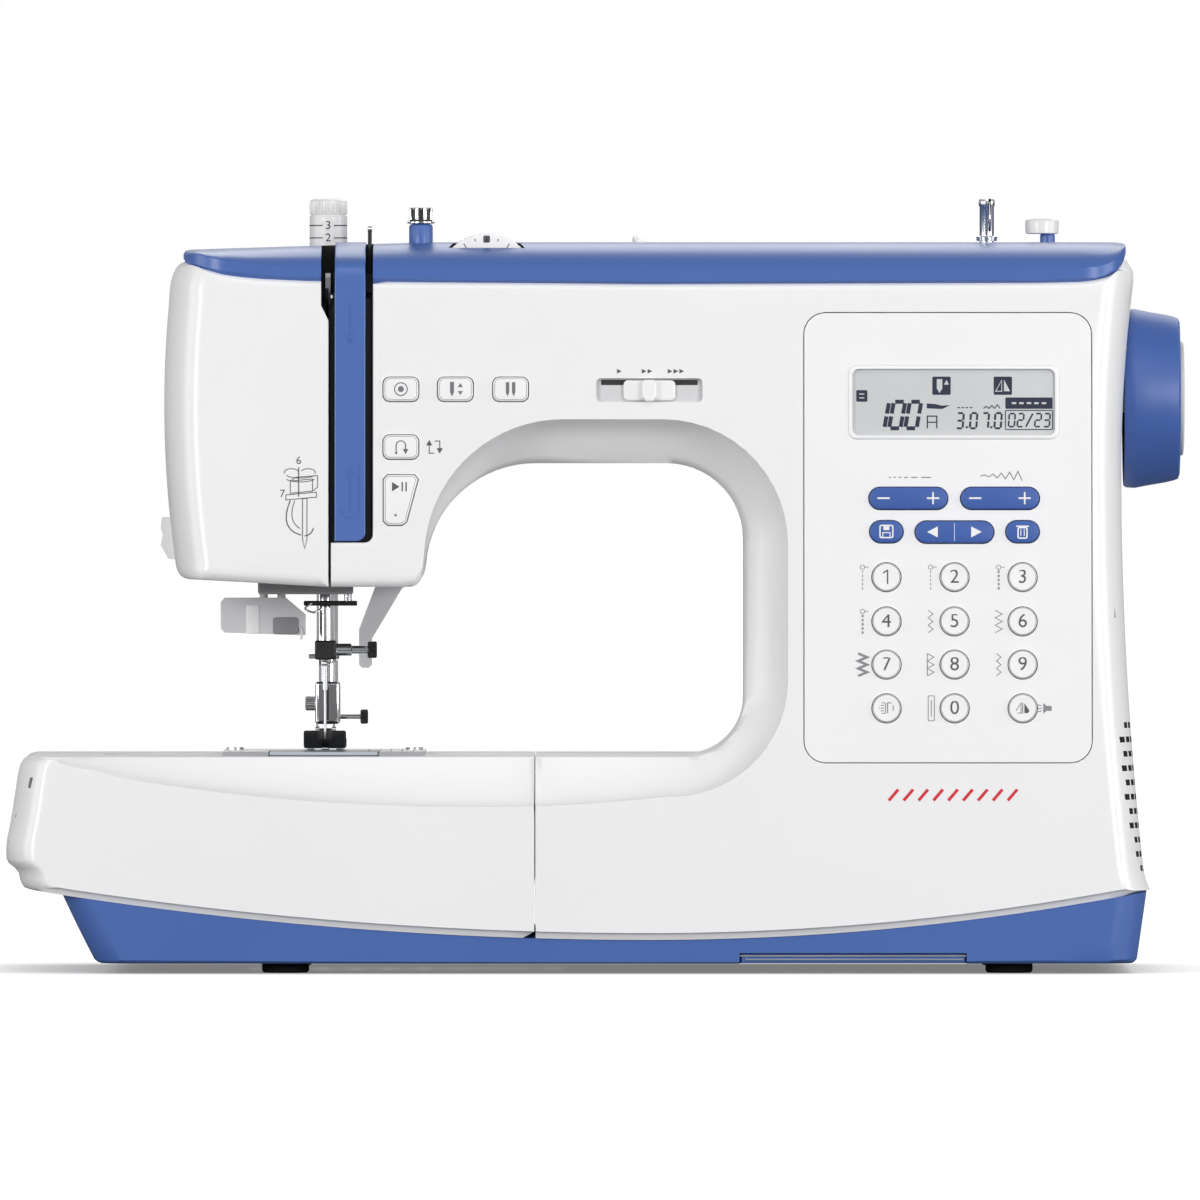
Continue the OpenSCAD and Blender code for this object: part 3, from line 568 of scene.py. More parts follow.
def throat(front):
    """Edge of the work space from the head down to the bed: at the back, or in the front face."""
    if front:
        rounds = ((-12, 149.4, 50, 176, 90), (24, 154.4, 45, 90, 0), (27, 105.6, 42, 0, -90))
    else:
        rounds = ((-22, 143.4, 40, 176, 90), (25.3, 155.4, 28, 90, 0), (32.5, 98.4, 98.4 - BED, 0, -90))
    counts = (18, 14, 14)
    return np.concatenate([arc(cx, cz, r, a, b, n) for (cx, cz, r, a, b), n in zip(rounds, counts)])


def corner_inset(z):
    return 10.4 + 1.9 * (z - 29) / 219


def throat_runs():
    """Underside of the head, the work space and the bed's top, from left to right and back."""
    lifted = HEAD_BOTTOM + 3.8
    yield stretch_of(columns(part_way(HEAD_SEAM + 0.9, -68, 10), HEAD_BOTTOM),
                     columns(part_way(HEAD_SEAM + 1.1, -66.6, 10), lifted), (8, ROUND), (4, ROUND))
    yield stretch_of(bezier((-68, HEAD_BOTTOM), (-62.6, HEAD_BOTTOM + 0.3), (-61.9, 146.2), 6),
                     bezier((-66.6, lifted), (-63, HEAD_BOTTOM + 4.4), (-61.9, 152.9), 6), (12, COVE), (6, ROUND))
    reach = np.interp(np.arange(len(throat(True))), (0, 12, 30, 45), (12, 24, 24, 15))
    yield stretch_of(throat(False), throat(True), (reach, COVE), (reach, COVE))
    front_x = part_way(26.8, SEAM_X + 0.3, 26)
    yield stretch_of(columns(part_way(32.3, SEAM_X, 26), BED), columns(front_x, crest(front_x)),
                     (15, COVE), (15, COVE))


def casing_runs():
    """Outline of the front casing, anticlockwise from the lower left."""
    top_x, left = float(right_x(SIDE_TOP)), HEAD_SEAM + 0.9
    yield belly_run(part_way(SEAM_X, FOOT_X, 46), part_way(SEAM_X + 0.3, FOOT_X - 10.4, 46), 22)
    z, front_z = part_way(FOOT_Z, SIDE_TOP, 60), part_way(FOOT_Z + 1.1, 251.6, 60)
    yield stretch_of(columns(right_x(z), z), columns(right_x(front_z) - corner_inset(front_z), front_z),
                     (22, ROUND), (3, ROUND))
    front_x = part_way(top_x - 12.3, SLOT_RIGHT + 0.4, 60)
    yield stretch_of(under_lip(part_way(top_x, SLOT_RIGHT, 60)),
                     columns(front_x, np.minimum(lip(front_x), 254.4) - 2.8), (22, ROUND), (3, ROUND))
    z = part_way(248.1, THREAD_SLOT_Z + 3, 12)
    yield stretch_of(columns(SLOT_RIGHT, z), columns(SLOT_RIGHT + 0.4, z - 0.6))
    turn = arc(SLOT_RIGHT - 3, THREAD_SLOT_Z + 3, 3, 0, -90, 7)[:-1]
    yield stretch_of(turn, turn + (0.35, -0.6))
    x = part_way(SLOT_RIGHT - 3, left, 6)
    yield stretch_of(columns(x, THREAD_SLOT_Z), columns(x + 0.3, THREAD_SLOT_Z - 0.6))
    yield stretch_of(columns(left, part_way(THREAD_SLOT_Z, HEAD_BOTTOM, 6)),
                     columns(HEAD_SEAM + 1.1, part_way(THREAD_SLOT_Z - 0.6, HEAD_BOTTOM + 3.8, 6)), z=(4, ROUND))
    yield from throat_runs()
    yield stretch_of(columns(SEAM_X, part_way(BED, belly(SEAM_X) + 0.3, 14)),
                     columns(SEAM_X + 0.3, part_way(crest(SEAM_X), belly(SEAM_X) + 2.8, 14)), z=(12, COVE))


# ---------------------------------------------------------------- controls: places and sizes
def face_box(node):
    """Centre and size of a node on the face, as (x, height on the face, width, height)."""
    low, high = box_of(node)
    middle = (low + high) / 2
    height = middle[2] * math.cos(LEAN_ANGLE) + (middle[1] - FACE_FOOT) * math.sin(LEAN_ANGLE)
    tall = ((high[2] - low[2]) - 7.3 * math.sin(LEAN_ANGLE)) / math.cos(LEAN_ANGLE)
    return middle[0], height, high[0] - low[0], tall


KEY_NAMES = [f"key_{i}" for i in range(1, 10)] + ["key_mode", "key_0", "key_mirror"]
PILL_NAMES = ["key_length", "key_width", "key_save", "key_cursor", "key_delete"]
ARM_NAMES = ["button_lock_stitch", "button_needle_up_down", "button_twin_needle", "button_reverse"]
KEY_OUT, KEY_WELL, GAP = 0.9, 5.6, 0.35
PANEL_BOX = (126.55, 157.6, 104.1, 163.2)
LCD_BOX = (128.7, 206.55, 76, 26.9)
SLIDER_BOX = (19.1, 210.9, 38.2, 8.6)


def start_outline(grow=0.0):
    points = [(-76.6, 163.6), (-75.1, 162.1), (-70, 162.1), (-68.4, 163.3), (-64.3, 178.6), (-65.6, 180.2),
              (-75.1, 180.2), (-76.6, 178.7)]
    return inset(points, -grow)


# ---------------------------------------------------------------- casings
def front_casing():
    obj = casing("front_casing", casing_runs(), SPLIT, 0, WHITE)
    wells = [rounded(x, z, w + 2 * GAP, h + 2 * GAP, 2.6) for x, z, w, h in map(face_box, ARM_NAMES)]
    wells += [start_outline(GAP), rounded(*SLIDER_BOX, 1.6)]
    boolean(obj, [face_cutter([rounded(*PANEL_BOX, 8)], -2, KEY_WELL + 0.1), face_cutter(wells, -2, KEY_WELL + 1.6),
                  vent_cutter(), side_slit(), head_pocket(), wheel_recess(), dial_recess()])
    piece(weighted(obj), BODY, "white_plastic", "front_shell")


def wheel_recess():
    """Shallow round recess in the side that the handwheel's rim turns in."""
    return drum(33.6, 190.3, 215, (0, 0, SHAFT_Z), "X", WHITE, 96)


def dial_recess():
    """Room for the tension dial under the cover, with black walls: painted shade round the dial."""
    return drum(18.8, -46, -34, (-39.6, 0, 248.4), "Y", BLACK, 96)


def vent_cutter():
    """Staggered air slots round the front corner of the column, with black walls: painted shade for the dark inside."""
    parts = []
    for row in range(11):
        z = 88.2 - 5.15 * row
        start = face_y(z) + 4.2 + (1.6 if row % 2 == 0 else 0) + 0.17 * max(row - 4, 0) ** 2
        start = y = start + (2.2 if row == 0 else 0)
        for length in (3.4, 4.4, 5.2, 6, 6, 6, 6):
            if y + length < SPLIT - 2:
                inner = float(right_x(z)) - (8 if y < start + 6 else 4)
                parts.append(block(inner, 206, y, y + length, z, z + 2.1, BLACK))
            y += length + 1.3
    return join("cutter", parts)


def side_slit():
    # Slit with black walls: painted shade.
    return block(186.6, 200, face_y(133) + 4, face_y(133) + 5.6, 128, 138, BLACK)


def head_pocket():
    """Room for the bars and levers inside the head, open below, with dark walls: painted shade for the inside."""
    return block(-126, -84, -30, 30, 120, 243, DARK_METAL_AND_SHADE)


def bar_bore():
    """Hole that the presser bar rises into, under the pressure dial, with dark walls: painted shade."""
    return drum(5.2, 242, 300, (*PRESSER, 0), "Z", DARK_METAL_AND_SHADE)


def rear_outline():
    full = [run[0] for run in casing_runs()]
    left = HEAD_SEAM + 0.9
    full[2] = under_lip(part_way(float(right_x(SIDE_TOP)), left, 60))
    full[3:7] = [columns(left, part_way(float(lip(left)) - 0.4, HEAD_BOTTOM, 24))]
    return np.concatenate(full)


def rear_casing():
    obj = slab_y("rear_casing", rear_outline(), SPLIT + 0.3, ARM_BACK, WHITE, 0.3, 6)
    x, z = np.linspace(SEAM_X, FOOT_X - 0.1, 40), np.linspace(FOOT_Z, BED - 8, 16)
    bed = np.concatenate([columns(x, belly(x) + 0.33), columns(right_x(z) - 0.03, z)[1:],
                          [[192, BED - 0.03], [SEAM_X + 0.03, BED - 0.03]]])
    z = np.linspace(40, 178, 24)
    column = np.concatenate([[[58, 40]], columns(right_x(z) - 0.05, z),
                             arc(right_x(178.0) - 8.05, 178, 8, 0, 90, 6)[1:], arc(66, 178, 8, 90, 180, 6)])
    added = [slab_y("bed", bed, 30, BED_BACK, WHITE, 0, 7), slab_y("column", column, 10, COLUMN_BACK, WHITE, 0, 5)]
    low, high = box_of("carry_handle")
    for x in (low[0] + 3, high[0] - 3):
        added += [lathe([(0, 4.2), (0.8, 5), (5.2, 5), (6, 4.2)], (x - 3, 52, 238), "X", WHITE, 40),
                  block(x - 3, x + 3, ARM_BACK - 3, 52, 233, 243)]
    for part in added:
        boolean(obj, [part], "UNION")
    # Vents and openings are cut with black walls: painted shade for the dark inside.
    cuts = [block(x, x + 9, COLUMN_BACK - 2.4, 70, z, z + 2.4, BLACK) for z in range(100, 150, 6)
            for x in range(100, 175, 14)]
    cuts += [block(right_x(float(z)) - 3, 206, -6, 8, z, z + 2.3, BLACK) for z in range(34, 72, 5)]
    cuts += [block(178, 206, 14, 42, 38, 62, BLACK), block(178, 206, 14, 36, 68, 92, BLACK)]
    cuts += [drum(3.4, 0, 40, place, "Y", GREY, 24) for place in screw_places()]
    trough = drum(20.3, 5.9, 114.1, (0, *SPOOL), "X")
    boolean(obj, [join("cutter", cuts), trough, head_pocket(), bar_bore(), wheel_recess()])
    piece(weighted(obj), BODY, "white_plastic", "rear_shell")


def screw_places():
    """Middle of the back end of each screw in the rear casing, from the solids of their node."""
    work = bmesh.new()
    work.from_mesh(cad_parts["casing_screws"].data)
    bmesh.ops.remove_doubles(work, verts=work.verts, dist=1e-6)
    seen, found = set(), []
    for start in work.verts:
        if start in seen:
            continue
        group, queue = [], [start]
        seen.add(start)
        while queue:
            vert = queue.pop()
            group.append(np.array(vert.co) / MM)
            for edge in vert.link_edges:
                other = edge.other_vert(vert)
                if other not in seen:
                    seen.add(other)
                    queue.append(other)
        low, high = np.min(group, axis=0), np.max(group, axis=0)
        if low[1] > 20:
            found.append(((low[0] + high[0]) / 2, high[1], (low[2] + high[2]) / 2))
    work.free()
    return found


def face_casing():
    right, top = HEAD_SEAM, 248.1
    x, front_x = part_way(-147, right, 16), part_way(-137, right - 0.3, 16)
    slope = HEAD_BOTTOM + 2.6 * (right - x) / 50
    z = part_way(242.0, 148.0, 24)
    top_front_x = part_way(right - 0.3, -136, 20)
    low_left = bezier((left_x(148.0), 148.0), (left_x(146.0) + 0.3, slope[0] + 0.2), (-147, slope[0]), 6)
    side, edge = (26, ROUND), (4, ROUND)
    runs = [
        stretch_of(columns(x, slope), columns(front_x, slope + 4), side, edge),
        stretch_of(columns(right, part_way(HEAD_BOTTOM, top, 16)),
                   columns(right - 0.3, part_way(HEAD_BOTTOM + 4, top - 2.6, 16))),
        stretch_of(under_lip(part_way(right, -148.2, 20)), columns(top_front_x, lip(top_front_x) - 2.8),
                   side, (3, ROUND)),
        stretch_of(bezier((-148.2, lip(-148.2) - 0.4), (left_x(250.0) - 0.6, 255.4), (left_x(242.0), 242.0), 8),
                   bezier((-136, 250), (left_x(246.0) + 13, 248.4), (left_x(242.0) + 14, 240), 8), side, edge),
        stretch_of(columns(left_x(z), z), columns(left_x(z) + 14, z), side),
        stretch_of(low_left, low_left + columns(part_way(14, 10, 6), np.linspace(0, 4, 6)), side, edge)]
    obj = casing("face_casing", runs, ARM_BACK, 8, WHITE)
    # The thread slot and the slit are cut with black walls: painted shade.
    slot = slab_y("cutter", [(-96.4, 234.6), (-90, 234.6), (-90, 262), (-99.2, 262), (-99.2, 240.4)], -90, -16, BLACK)
    slit = block(-160, left_x(190.0) + 0.7, -40, -37, 184.6, 194.4, BLACK)
    boolean(obj, [slot, slit, head_pocket(), bar_bore()])
    outline = [(-154.4, 149.2), (-157, 154), (-156.2, 157.6), (-157, 160), (-156.6, 163.4), (-151, 163.4), (-151, 149)]
    piece(slab_y("thread_cutter", outline, -30, -22, WHITE, 0.5, 0.5), BODY, "grey_plastic")
    piece(weighted(obj), BODY, "white_plastic", "face_cover")


def table_casing():
    end_x = table_low[0]
    front_x = part_way(SEAM_X - 0.6, -194, 40)
    side = np.array([(-204, BED), (-206.6, BED - 0.7), (-207.8, BED - 2.6), (-208.6, 71.5), (-209.4, 66),
                     (-210.3, 60), (-211.2, 54.5), (end_x + 0.3, 48), (end_x, 44.5), (end_x + 0.1, 41),
                     (end_x + 0.9, 39.4), (-209.8, 37.8), (-208.3, 36), (-207.9, 34), (-207.2, 32), (-206.3, 30.7)])
    front = side + (11.5, 0)
    front[0] = (-194, BED - 1.5)
    front[-1] = (-194, belly(-194.0) + 2.8)
    runs = [
        belly_run(part_way(-205.4, SEAM_X - 0.3, 44), part_way(-192.5, SEAM_X - 0.6, 44), 26),
        stretch_of(columns(SEAM_X - 0.3, part_way(belly(SEAM_X) + 0.3, BED, 14)),
                   columns(SEAM_X - 0.6, part_way(belly(SEAM_X) + 2.8, crest(SEAM_X), 14)), z=(12, COVE)),
        stretch_of(columns(part_way(SEAM_X - 0.3, -204, 40), BED),
                   columns(front_x, np.minimum(crest(front_x), BED - 1.5)), (26, ROUND), (15, COVE)),
        stretch_of(side, front, (26, ROUND), (6, ROUND))]
    obj = casing("table_casing", runs, BED_BACK, 8, WHITE)
    low, high = box_of("free_arm_cover")
    half, centre = high[1] + 0.5, low[0] + high[1]
    boolean(obj, [block(centre, 0, -half, half, -10, 120), drum(half, -10, 120, (centre, 0, 0), "Z", WHITE, 96),
                  block(-198, 0, -79.6, 79.6, -10, low[2] - 1)])
    # Slot, hole and finger groove in the table's end, their walls in grey print and grey: painted shade in the
    # recesses.
    y = face_y(68) + 3.4
    boolean(obj, [join("cutter", [block(-204.4, -200.8, y, y + 1.6, 66.7, 70.5, PRINT_AND_SHADE),
                                  block(-230, -205.6, y + 7, y + 8, 56, 57.2, PRINT_AND_SHADE),
                                  block(-230, -207.6, y + 11, y + 12, 46.6, 47.4, PRINT_AND_SHADE),
                                  block(-230, -209.8, -20, 20, 58, 64, GREY)])])
    piece(weighted(obj), "extension_table", "white_plastic", "extension_table")


def rounded_plan(x0, x1, y0, y1, r, steps=10):
    """Plan outline with round corners, anticlockwise, with points along its long sides too."""
    corners = [arc(x1 - r, y0 + r, r, -90, 0, steps), arc(x1 - r, y1 - r, r, 0, 90, steps),
               arc(x0 + r, y1 - r, r, 90, 180, steps), arc(x0 + r, y0 + r, r, 180, 270, steps)]
    run = part_way(0, 1, 40)[1:, None]
    result = []
    for corner, following in zip(corners, corners[1:] + corners[:1]):
        result += [corner, corner[-1] + (following[0] - corner[-1]) * run]
    return np.concatenate(result)


def cover_casing():
    """Blue top cover: an upright lip, a crease, and a top that falls to the front and the back."""
    x0, x1, y0, y1, top = cover_low[0], cover_high[0], cover_low[1], cover_high[1], cover_high[2]
    levels = [(None, 3, 3, 3), (-5.0, 0.4, 0.4, 0.4), (-4.6, 0, 0, 0), (-0.4, 0, 0, 0), (0.0, 0.1, 0.35, 0.25),
              (0.25, 0.2, 2.4, 1.5), (0.45, 0.35, 5.6, 3), (0.65, 0.6, 10, 5.5), (0.82, 1.1, 15.7, 9),
              (0.93, 1.9, 22, 13), (0.985, 3.2, 29, 18), (1.0, 6, 36, 24)]
    loops = []
    for height, side, front, back in levels:
        plan = rounded_plan(x0 + side, x1 - side, y0 + front, y1 - back, 16)
        edge = lip(plan[:, 0])
        crown = top - 2.7 * np.clip((-60 - plan[:, 0]) / 89, 0, 1)
        crease = np.minimum(edge + 4.6, crown - 1.6)
        if height is None:
            z = np.full(len(plan), 247.6)
        elif height <= 0:
            z = crease + height / 5 * (crease - edge)
        else:
            z = crease + (crown - crease) * height
        loops.append(np.c_[plan, np.minimum(z, top)])
    obj = loft("cover_casing", loops, BLUE, sharp=35)
    wall = drum(20.2, 6, 114, (0, *SPOOL), "X", BLUE, 64)
    boolean(wall, [block(0, 120, -20, ARM_BACK - 0.05, 200, 250)], "INTERSECT")
    boolean(obj, [wall], "UNION")
    # The thread slot and the dial's recess are cut with black walls: painted shade.
    cuts = [block(8, 112, 8, 90, 252, 300, BLUE), block(-99.2, SLOT_RIGHT, -90, -16.2, 240, 280, BLACK),
            dial_recess()]
    trough = drum(18, 8, 112, (0, *SPOOL), "X", BLUE, 64)
    hole = drum(7.3, 240, 300, (*centre_of("pressure_dial")[:2], 0), "Z", BLUE)
    slot = slab_z(rounded(144.3, -8, 12, 6.8, 3.3), 240, 280, BLUE)
    boolean(obj, [join("cutter", cuts), trough, hole, slot])
    piece(weighted(obj), BODY, "blue_plastic", "top_cover")


def tray_casing():
    """Blue base tray, open above, with slanted ends."""
    bottom, back = tray_low[2], tray_high[1]
    def ring(share, inward):
        x0, x1 = -180 - 12.2 * share, 194.4 + 3.7 * share
        plan = rounded_plan(x0 + inward, x1 - inward, -back - 1.8 + inward, back - inward, 12)
        return np.c_[plan, bottom + (belly(plan[:, 0]) + 0.2 - bottom) * share]
    floor = ring(0, 9)
    floor[:, 2] = 6.0
    loops = [ring(0, 1.6), ring(0.02, 0.7), ring(0.06, 0)] + [ring(share, 0) for share in (0.35, 0.7, 1)]
    obj = loft("tray_casing", loops + [ring(1, 1.9), ring(1, 7) + (0, 0, 2), floor], BLUE)
    cuts = [block(51.5, 133.2, -90, -72, 0, 7.4, BLUE)]
    cuts += [block(x, x + 6, -30, 30, 0, 12, BLUE) for x in range(-120, 165, 12)]
    boolean(obj, [join("cutter", cuts)])
    piece(bevelled(block(52, 132.7, -80.4, -72.4, 3.8, 7.0, BLUE, "chart_tray"), 0.5), BODY, "white_plastic")
    piece(join("chart_tray_edge", [block(51.6 + 2 * k, 133 - k, -81.1, -80.3, z, z + 0.5, STEEL)
                                   for k, z in enumerate((6.2, 4.9))]), BODY, "steel")
    piece(weighted(obj), BODY, "blue_plastic", "base_tray")


def guide_strip():
    """Blue strip down the head between the two thread slots, with embossed arrows, and a black channel behind it:
    painted shade for the slots' depth.
    """
    x0, x1 = -94.3, -83.2
    low, top = STRIP_LOW, cover_high[2]
    line = [(face_y(z), z) for z in (low, *np.linspace(low + 8, 250, 12))]
    line += [(-60.3, 253.2), (-58.6, 255.6), (-54, 257.8), (-48, 259.6), (-40, 261.4), (-31, 262.7), (-24, top),
             (-16.4, top)]
    line = np.array(line)
    bend = (250, 256, 262)
    back = line + np.c_[np.interp(line[:, 1], bend, (2.6, 2.0, 0)), -np.interp(line[:, 1], bend, (0, 1.6, 2.4))]
    profile = np.concatenate([line, back[::-1]])
    on_front = np.where(np.arange(len(profile)) < len(line), 1, 0)[:, None] * np.array([1.0, -0.3])
    loops = [at_side(profile + on_front * inward, x) for x, inward in (
        (x0, 0.5), (x0 + 0.15, 0.15), (x0 + 0.5, 0), (x1 - 0.5, 0), (x1 - 0.15, 0.15), (x1, 0.5))]
    strip = loft("guide_strip", loops, BLUE)
    corner = block(x1 - 3.2, x1 + 1, -90, -40, low - 1, low + 3.2)
    boolean(corner, [drum(3.2, -95, -35, (x1 - 3.2, 0, low + 3.2), "Y", BLUE_DARK, 40)])
    boolean(strip, [corner])
    emboss = Marks(0.0, 0.1, ((x0 + x1) / 2, 0))
    for z, tip in ((236, 1), (175, -1)):
        emboss.line([(0, z - 8), (0, z + 6)], 0.5)
        emboss.line([(-1.6, z - 4.8 * tip), (0, z - 8 * tip), (1.6, z - 4.8 * tip)], 0.5)
    emboss.line(np.concatenate([arc(0, 168, 3.2, 180, 360, 12), [(3.2, 184)]]), 0.5)
    piece(join("guide_strip_piece", [weighted(strip), emboss.build(BLUE_DARK)]), BODY, "blue_plastic", "thread_guide")
    # The black channel and block behind the thread slots are painted shade for their depth.
    slot_shade = face_block(rounded(-88.6, 200.5, 15.4, 89, 0.4), 8, 14, BLACK, 0.2)
    top = block(-94.9, -80.7, face_y(250) + 8, -22, 245, 252, BLACK)
    piece(join("guide_slot_shade_piece", [slot_shade, top]), BODY, "black_plastic")


# ---------------------------------------------------------------- panel, keys and display
def panel_plate():
    x, z, w, h = PANEL_BOX
    obj = face_block(rounded(x, z, w - 2 * GAP, h - 2 * GAP, 7.7, 10), 0.05, 2.4, PANEL, 0.25, name="panel_plate")
    holes = [circle(*face_box(name)[:2], face_box(name)[2] / 2 + GAP) for name in KEY_NAMES]
    kh = face_box("key_save")[3]
    for name in PILL_NAMES:
        kx, kz, kw, _ = face_box(name)
        holes.append(rounded(kx, kz, kw + 2 * GAP, kh + 2 * GAP, kh / 2 + GAP - 0.01, 10))
    holes.append(rounded(*LCD_BOX, 3))
    boolean(obj, [face_cutter(holes, -2, 4)])
    # Thin black sheet at the bottom of the key well: painted shade seen through the gaps round the keys.
    back = face_block(rounded(x, z, w - 8, h - 8, 6), KEY_WELL, KEY_WELL + 0.08, BLACK, 0.01, name="key_well")
    piece(back, BODY, "black_plastic")
    piece(weighted(obj), BODY, "panel_plastic", "control_panel")


def number_keys():
    for name in KEY_NAMES:
        x, z, w, _ = face_box(name)
        cap = face_block(circle(x, z, w / 2, 56), -KEY_OUT, 2.3, PANEL, 0.45, dish=0.25)
        ring = Marks(-KEY_OUT + 0.02, 0.04, (x, z))
        ring.line(circle(0, 0, w / 2 - 0.3, 56), 0.22, closed=True)
        digit = Marks(-KEY_OUT + 0.24, 0.06, (x, z))
        if name == "key_1":
            digit.line([(-1.2, 1.4), (0.4, 2.5), (0.4, -2.6)], 0.5)
        elif name[-1].isdigit():
            digit.text(name[-1], 7.2)
        elif name == "key_mode":
            digit.line(rounded(-1.5, 0, 2.2, 3.8, 0.3, 3), 0.25, closed=True)
            for dz in (-1, 0, 1):
                digit.line([(-2.1, dz), (-0.9, dz)], 0.25)
            digit.line([(0.4, -1.9), (0.4, 1.9), (2.4, 1.9), (2.4, -1.9)], 0.3)
        else:
            digit.line([(0, -2), (0, 2)], 0.25)
            digit.line([(-0.6, -1.8), (-0.6, 1.8), (-3, -1.8)], 0.28, closed=True)
            digit.fill([(0.6, -1.8), (3, -1.8), (0.6, 1.8)])
        node_piece(name, "panel_plastic", cap, ring.build(PRINT_AND_SHADE), digit.build(PRINT_DARK))


def pill_keys():
    h = face_box("key_save")[3]
    for name in PILL_NAMES:
        x, z, w, _ = face_box(name)
        cap = face_block(rounded(x, z, w, h, h / 2 - 0.02, 12), -KEY_OUT, 2.3, BLUE_KEY, 0.55)
        sign = Marks(-KEY_OUT, 0.06, (x, z))
        if name in ("key_length", "key_width"):
            for side in (-8.9, 8.9):
                sign.line([(side - 2.2, 0), (side + 2.2, 0)], 0.6)
            for end in (-1, 1):
                sign.line([(8.9, end * 0.3), (8.9, end * 2.2)], 0.6)
        elif name == "key_cursor":
            for side in (-1, 1):
                sign.fill([(side * 9.8, 0), (side * 6, 2), (side * 6, -2)][::side])
            sign.line([(0, -3.2), (0, 3.2)], 0.18)
        elif name == "key_save":
            sign.line(rounded(0, 0, 4.6, 4.4, 0.5, 3), 0.5, closed=True)
            sign.fill(rounded(0, 1.2, 2.2, 1.4, 0.2, 3))
            sign.line([(-1.3, -1.9), (-1.3, -0.4), (1.3, -0.4), (1.3, -1.9)], 0.35)
        else:
            sign.line(rounded(0, -0.5, 3.2, 3.8, 0.5, 3), 0.5, closed=True)
            sign.line([(-2.3, 1.9), (2.3, 1.9)], 0.5)
            for dx in (-0.6, 0.6):
                sign.line([(dx, -1.7), (dx, 0.9)], 0.3)
        node_piece(name, "blue_plastic", cap, sign.build(WHITE))


def arrow(marks, tail, tip, width=0.35, head=0.9):
    tail, tip = np.array(tail, float), np.array(tip, float)
    ahead = (tip - tail) / np.linalg.norm(tip - tail) * head
    side = np.array([-ahead[1], ahead[0]]) * 0.8
    marks.line([tail, tip - ahead * 0.8], width)
    marks.fill([tip, tip - ahead * 1.4 + side, tip - ahead * 1.4 - side])


def arm_buttons():
    for name in ARM_NAMES:
        x, z, w, h = face_box(name)
        cap = face_block(rounded(x, z, w, h, 2.3), -KEY_OUT, 6, PANEL, 0.5)
        rim = Marks(-KEY_OUT, 0.03, (x, z))
        rim.line(rounded(0, 0, w - 1.1, h - 1.1, 1.9), 0.18, closed=True)
        sign = Marks(-KEY_OUT, 0.06, (x, z))
        if name == "button_lock_stitch":
            sign.line(circle(0, 0, 2.3, 32), 0.4, closed=True)
            sign.fill(circle(0, 0, 1.1, 20))
        elif name == "button_needle_up_down":
            sign.fill([(-1.9, 2.6), (-1.9, -1.2), (-1.2, -2.7), (-0.5, -1.2), (-0.5, 2.6)])
            sign.fill([(0.9, 0.7), (2.7, 0.7), (1.8, 2.2)])
            sign.fill([(0.9, -0.7), (1.8, -2.2), (2.7, -0.7)])
        elif name == "button_twin_needle":
            for dx in (-1.1, 1.1):
                sign.fill([(dx - 0.6, 2.5), (dx - 0.6, -1.2), (dx, -2.7), (dx + 0.6, -1.2), (dx + 0.6, 2.5)])
        else:
            sign.line(np.concatenate([[(-1.7, -1.9)], arc(0, 0.5, 1.7, 180, 0, 12), [(1.7, -0.4)]]), 0.4)
            arrow(sign, (1.7, 0.4), (1.7, -2.6), 0.4, 1.3)
            sign.fill(circle(-1.7, -2.2, 0.45, 12))
        node_piece(name, "panel_plastic", cap, rim.build(PRINT_AND_SHADE), sign.build(SIGN))
    cap = face_block(start_outline(), -KEY_OUT, 6, PANEL, 0.5)
    rim = Marks(-KEY_OUT, 0.03)
    rim.line(start_outline(-0.6), 0.18, closed=True)
    sign = Marks(-KEY_OUT, 0.06)
    sign.fill([(-73.6, 174.2), (-70.9, 175.9), (-73.6, 177.6)])
    for x in (-69.9, -68.5):
        sign.line([(x, 174.2), (x, 177.6)], 0.5)
    lamp = Marks(-KEY_OUT, 0.08)
    lamp.fill(circle(-72.3, 165.6, 0.5, 16))
    node_piece("button_start_stop", "panel_plastic", cap, rim.build(PRINT_AND_SHADE), sign.build(PRINT_DARK), lamp.build(PRINT_AND_SHADE))


def speed_slider():
    x, z, w, h = SLIDER_BOX
    floor = face_block(rounded(x, z, w - 0.1, h - 0.1, 1.5), 2.2, 3.0, GREY, 0.05)
    # The slit is a thin black plate on the well's floor: painted shade for the opening.
    slit = face_block(rounded(x, z + 3.0, w - 3.4, 1.9, 0.4), 2.1, 2.3, BLACK, 0.02)
    piece(join("slider_well_piece", [floor, slit]), BODY, "grey_plastic")
    base = face_block(rounded(x, z, 18.7, 7.4, 1.6), 0.5, 2.0, WHITE, 0.5)
    ridge = face_block(rounded(x, z, 5.2, 7.2, 1.2), -2.2, 0.7, WHITE, 0.7)
    tab = face_block(rounded(x, z - 3.4, 3.4, 1.6, 0.5), -2.6, -1.4, WHITE, 0.4)
    node_piece("speed_slider", "white_plastic", base, ridge, tab)
    marks = Marks(0.0)
    for start, count in ((8.2, 1), (18.2, 2), (28.6, 3)):
        for step in range(count):
            at = start + 2.1 * (step - (count - 1) / 2)
            marks.fill([(at - 0.8, 216.9), (at + 0.9, 217.75), (at - 0.8, 218.6)])
    piece(marks.build(PRINT_DARK, "speed_marks"), BODY, "grey_plastic")


SEGMENTS = {"0": "abcdef", "1": "bc", "2": "abged", "3": "abgcd", "7": "abc", "/": "", ".": ""}


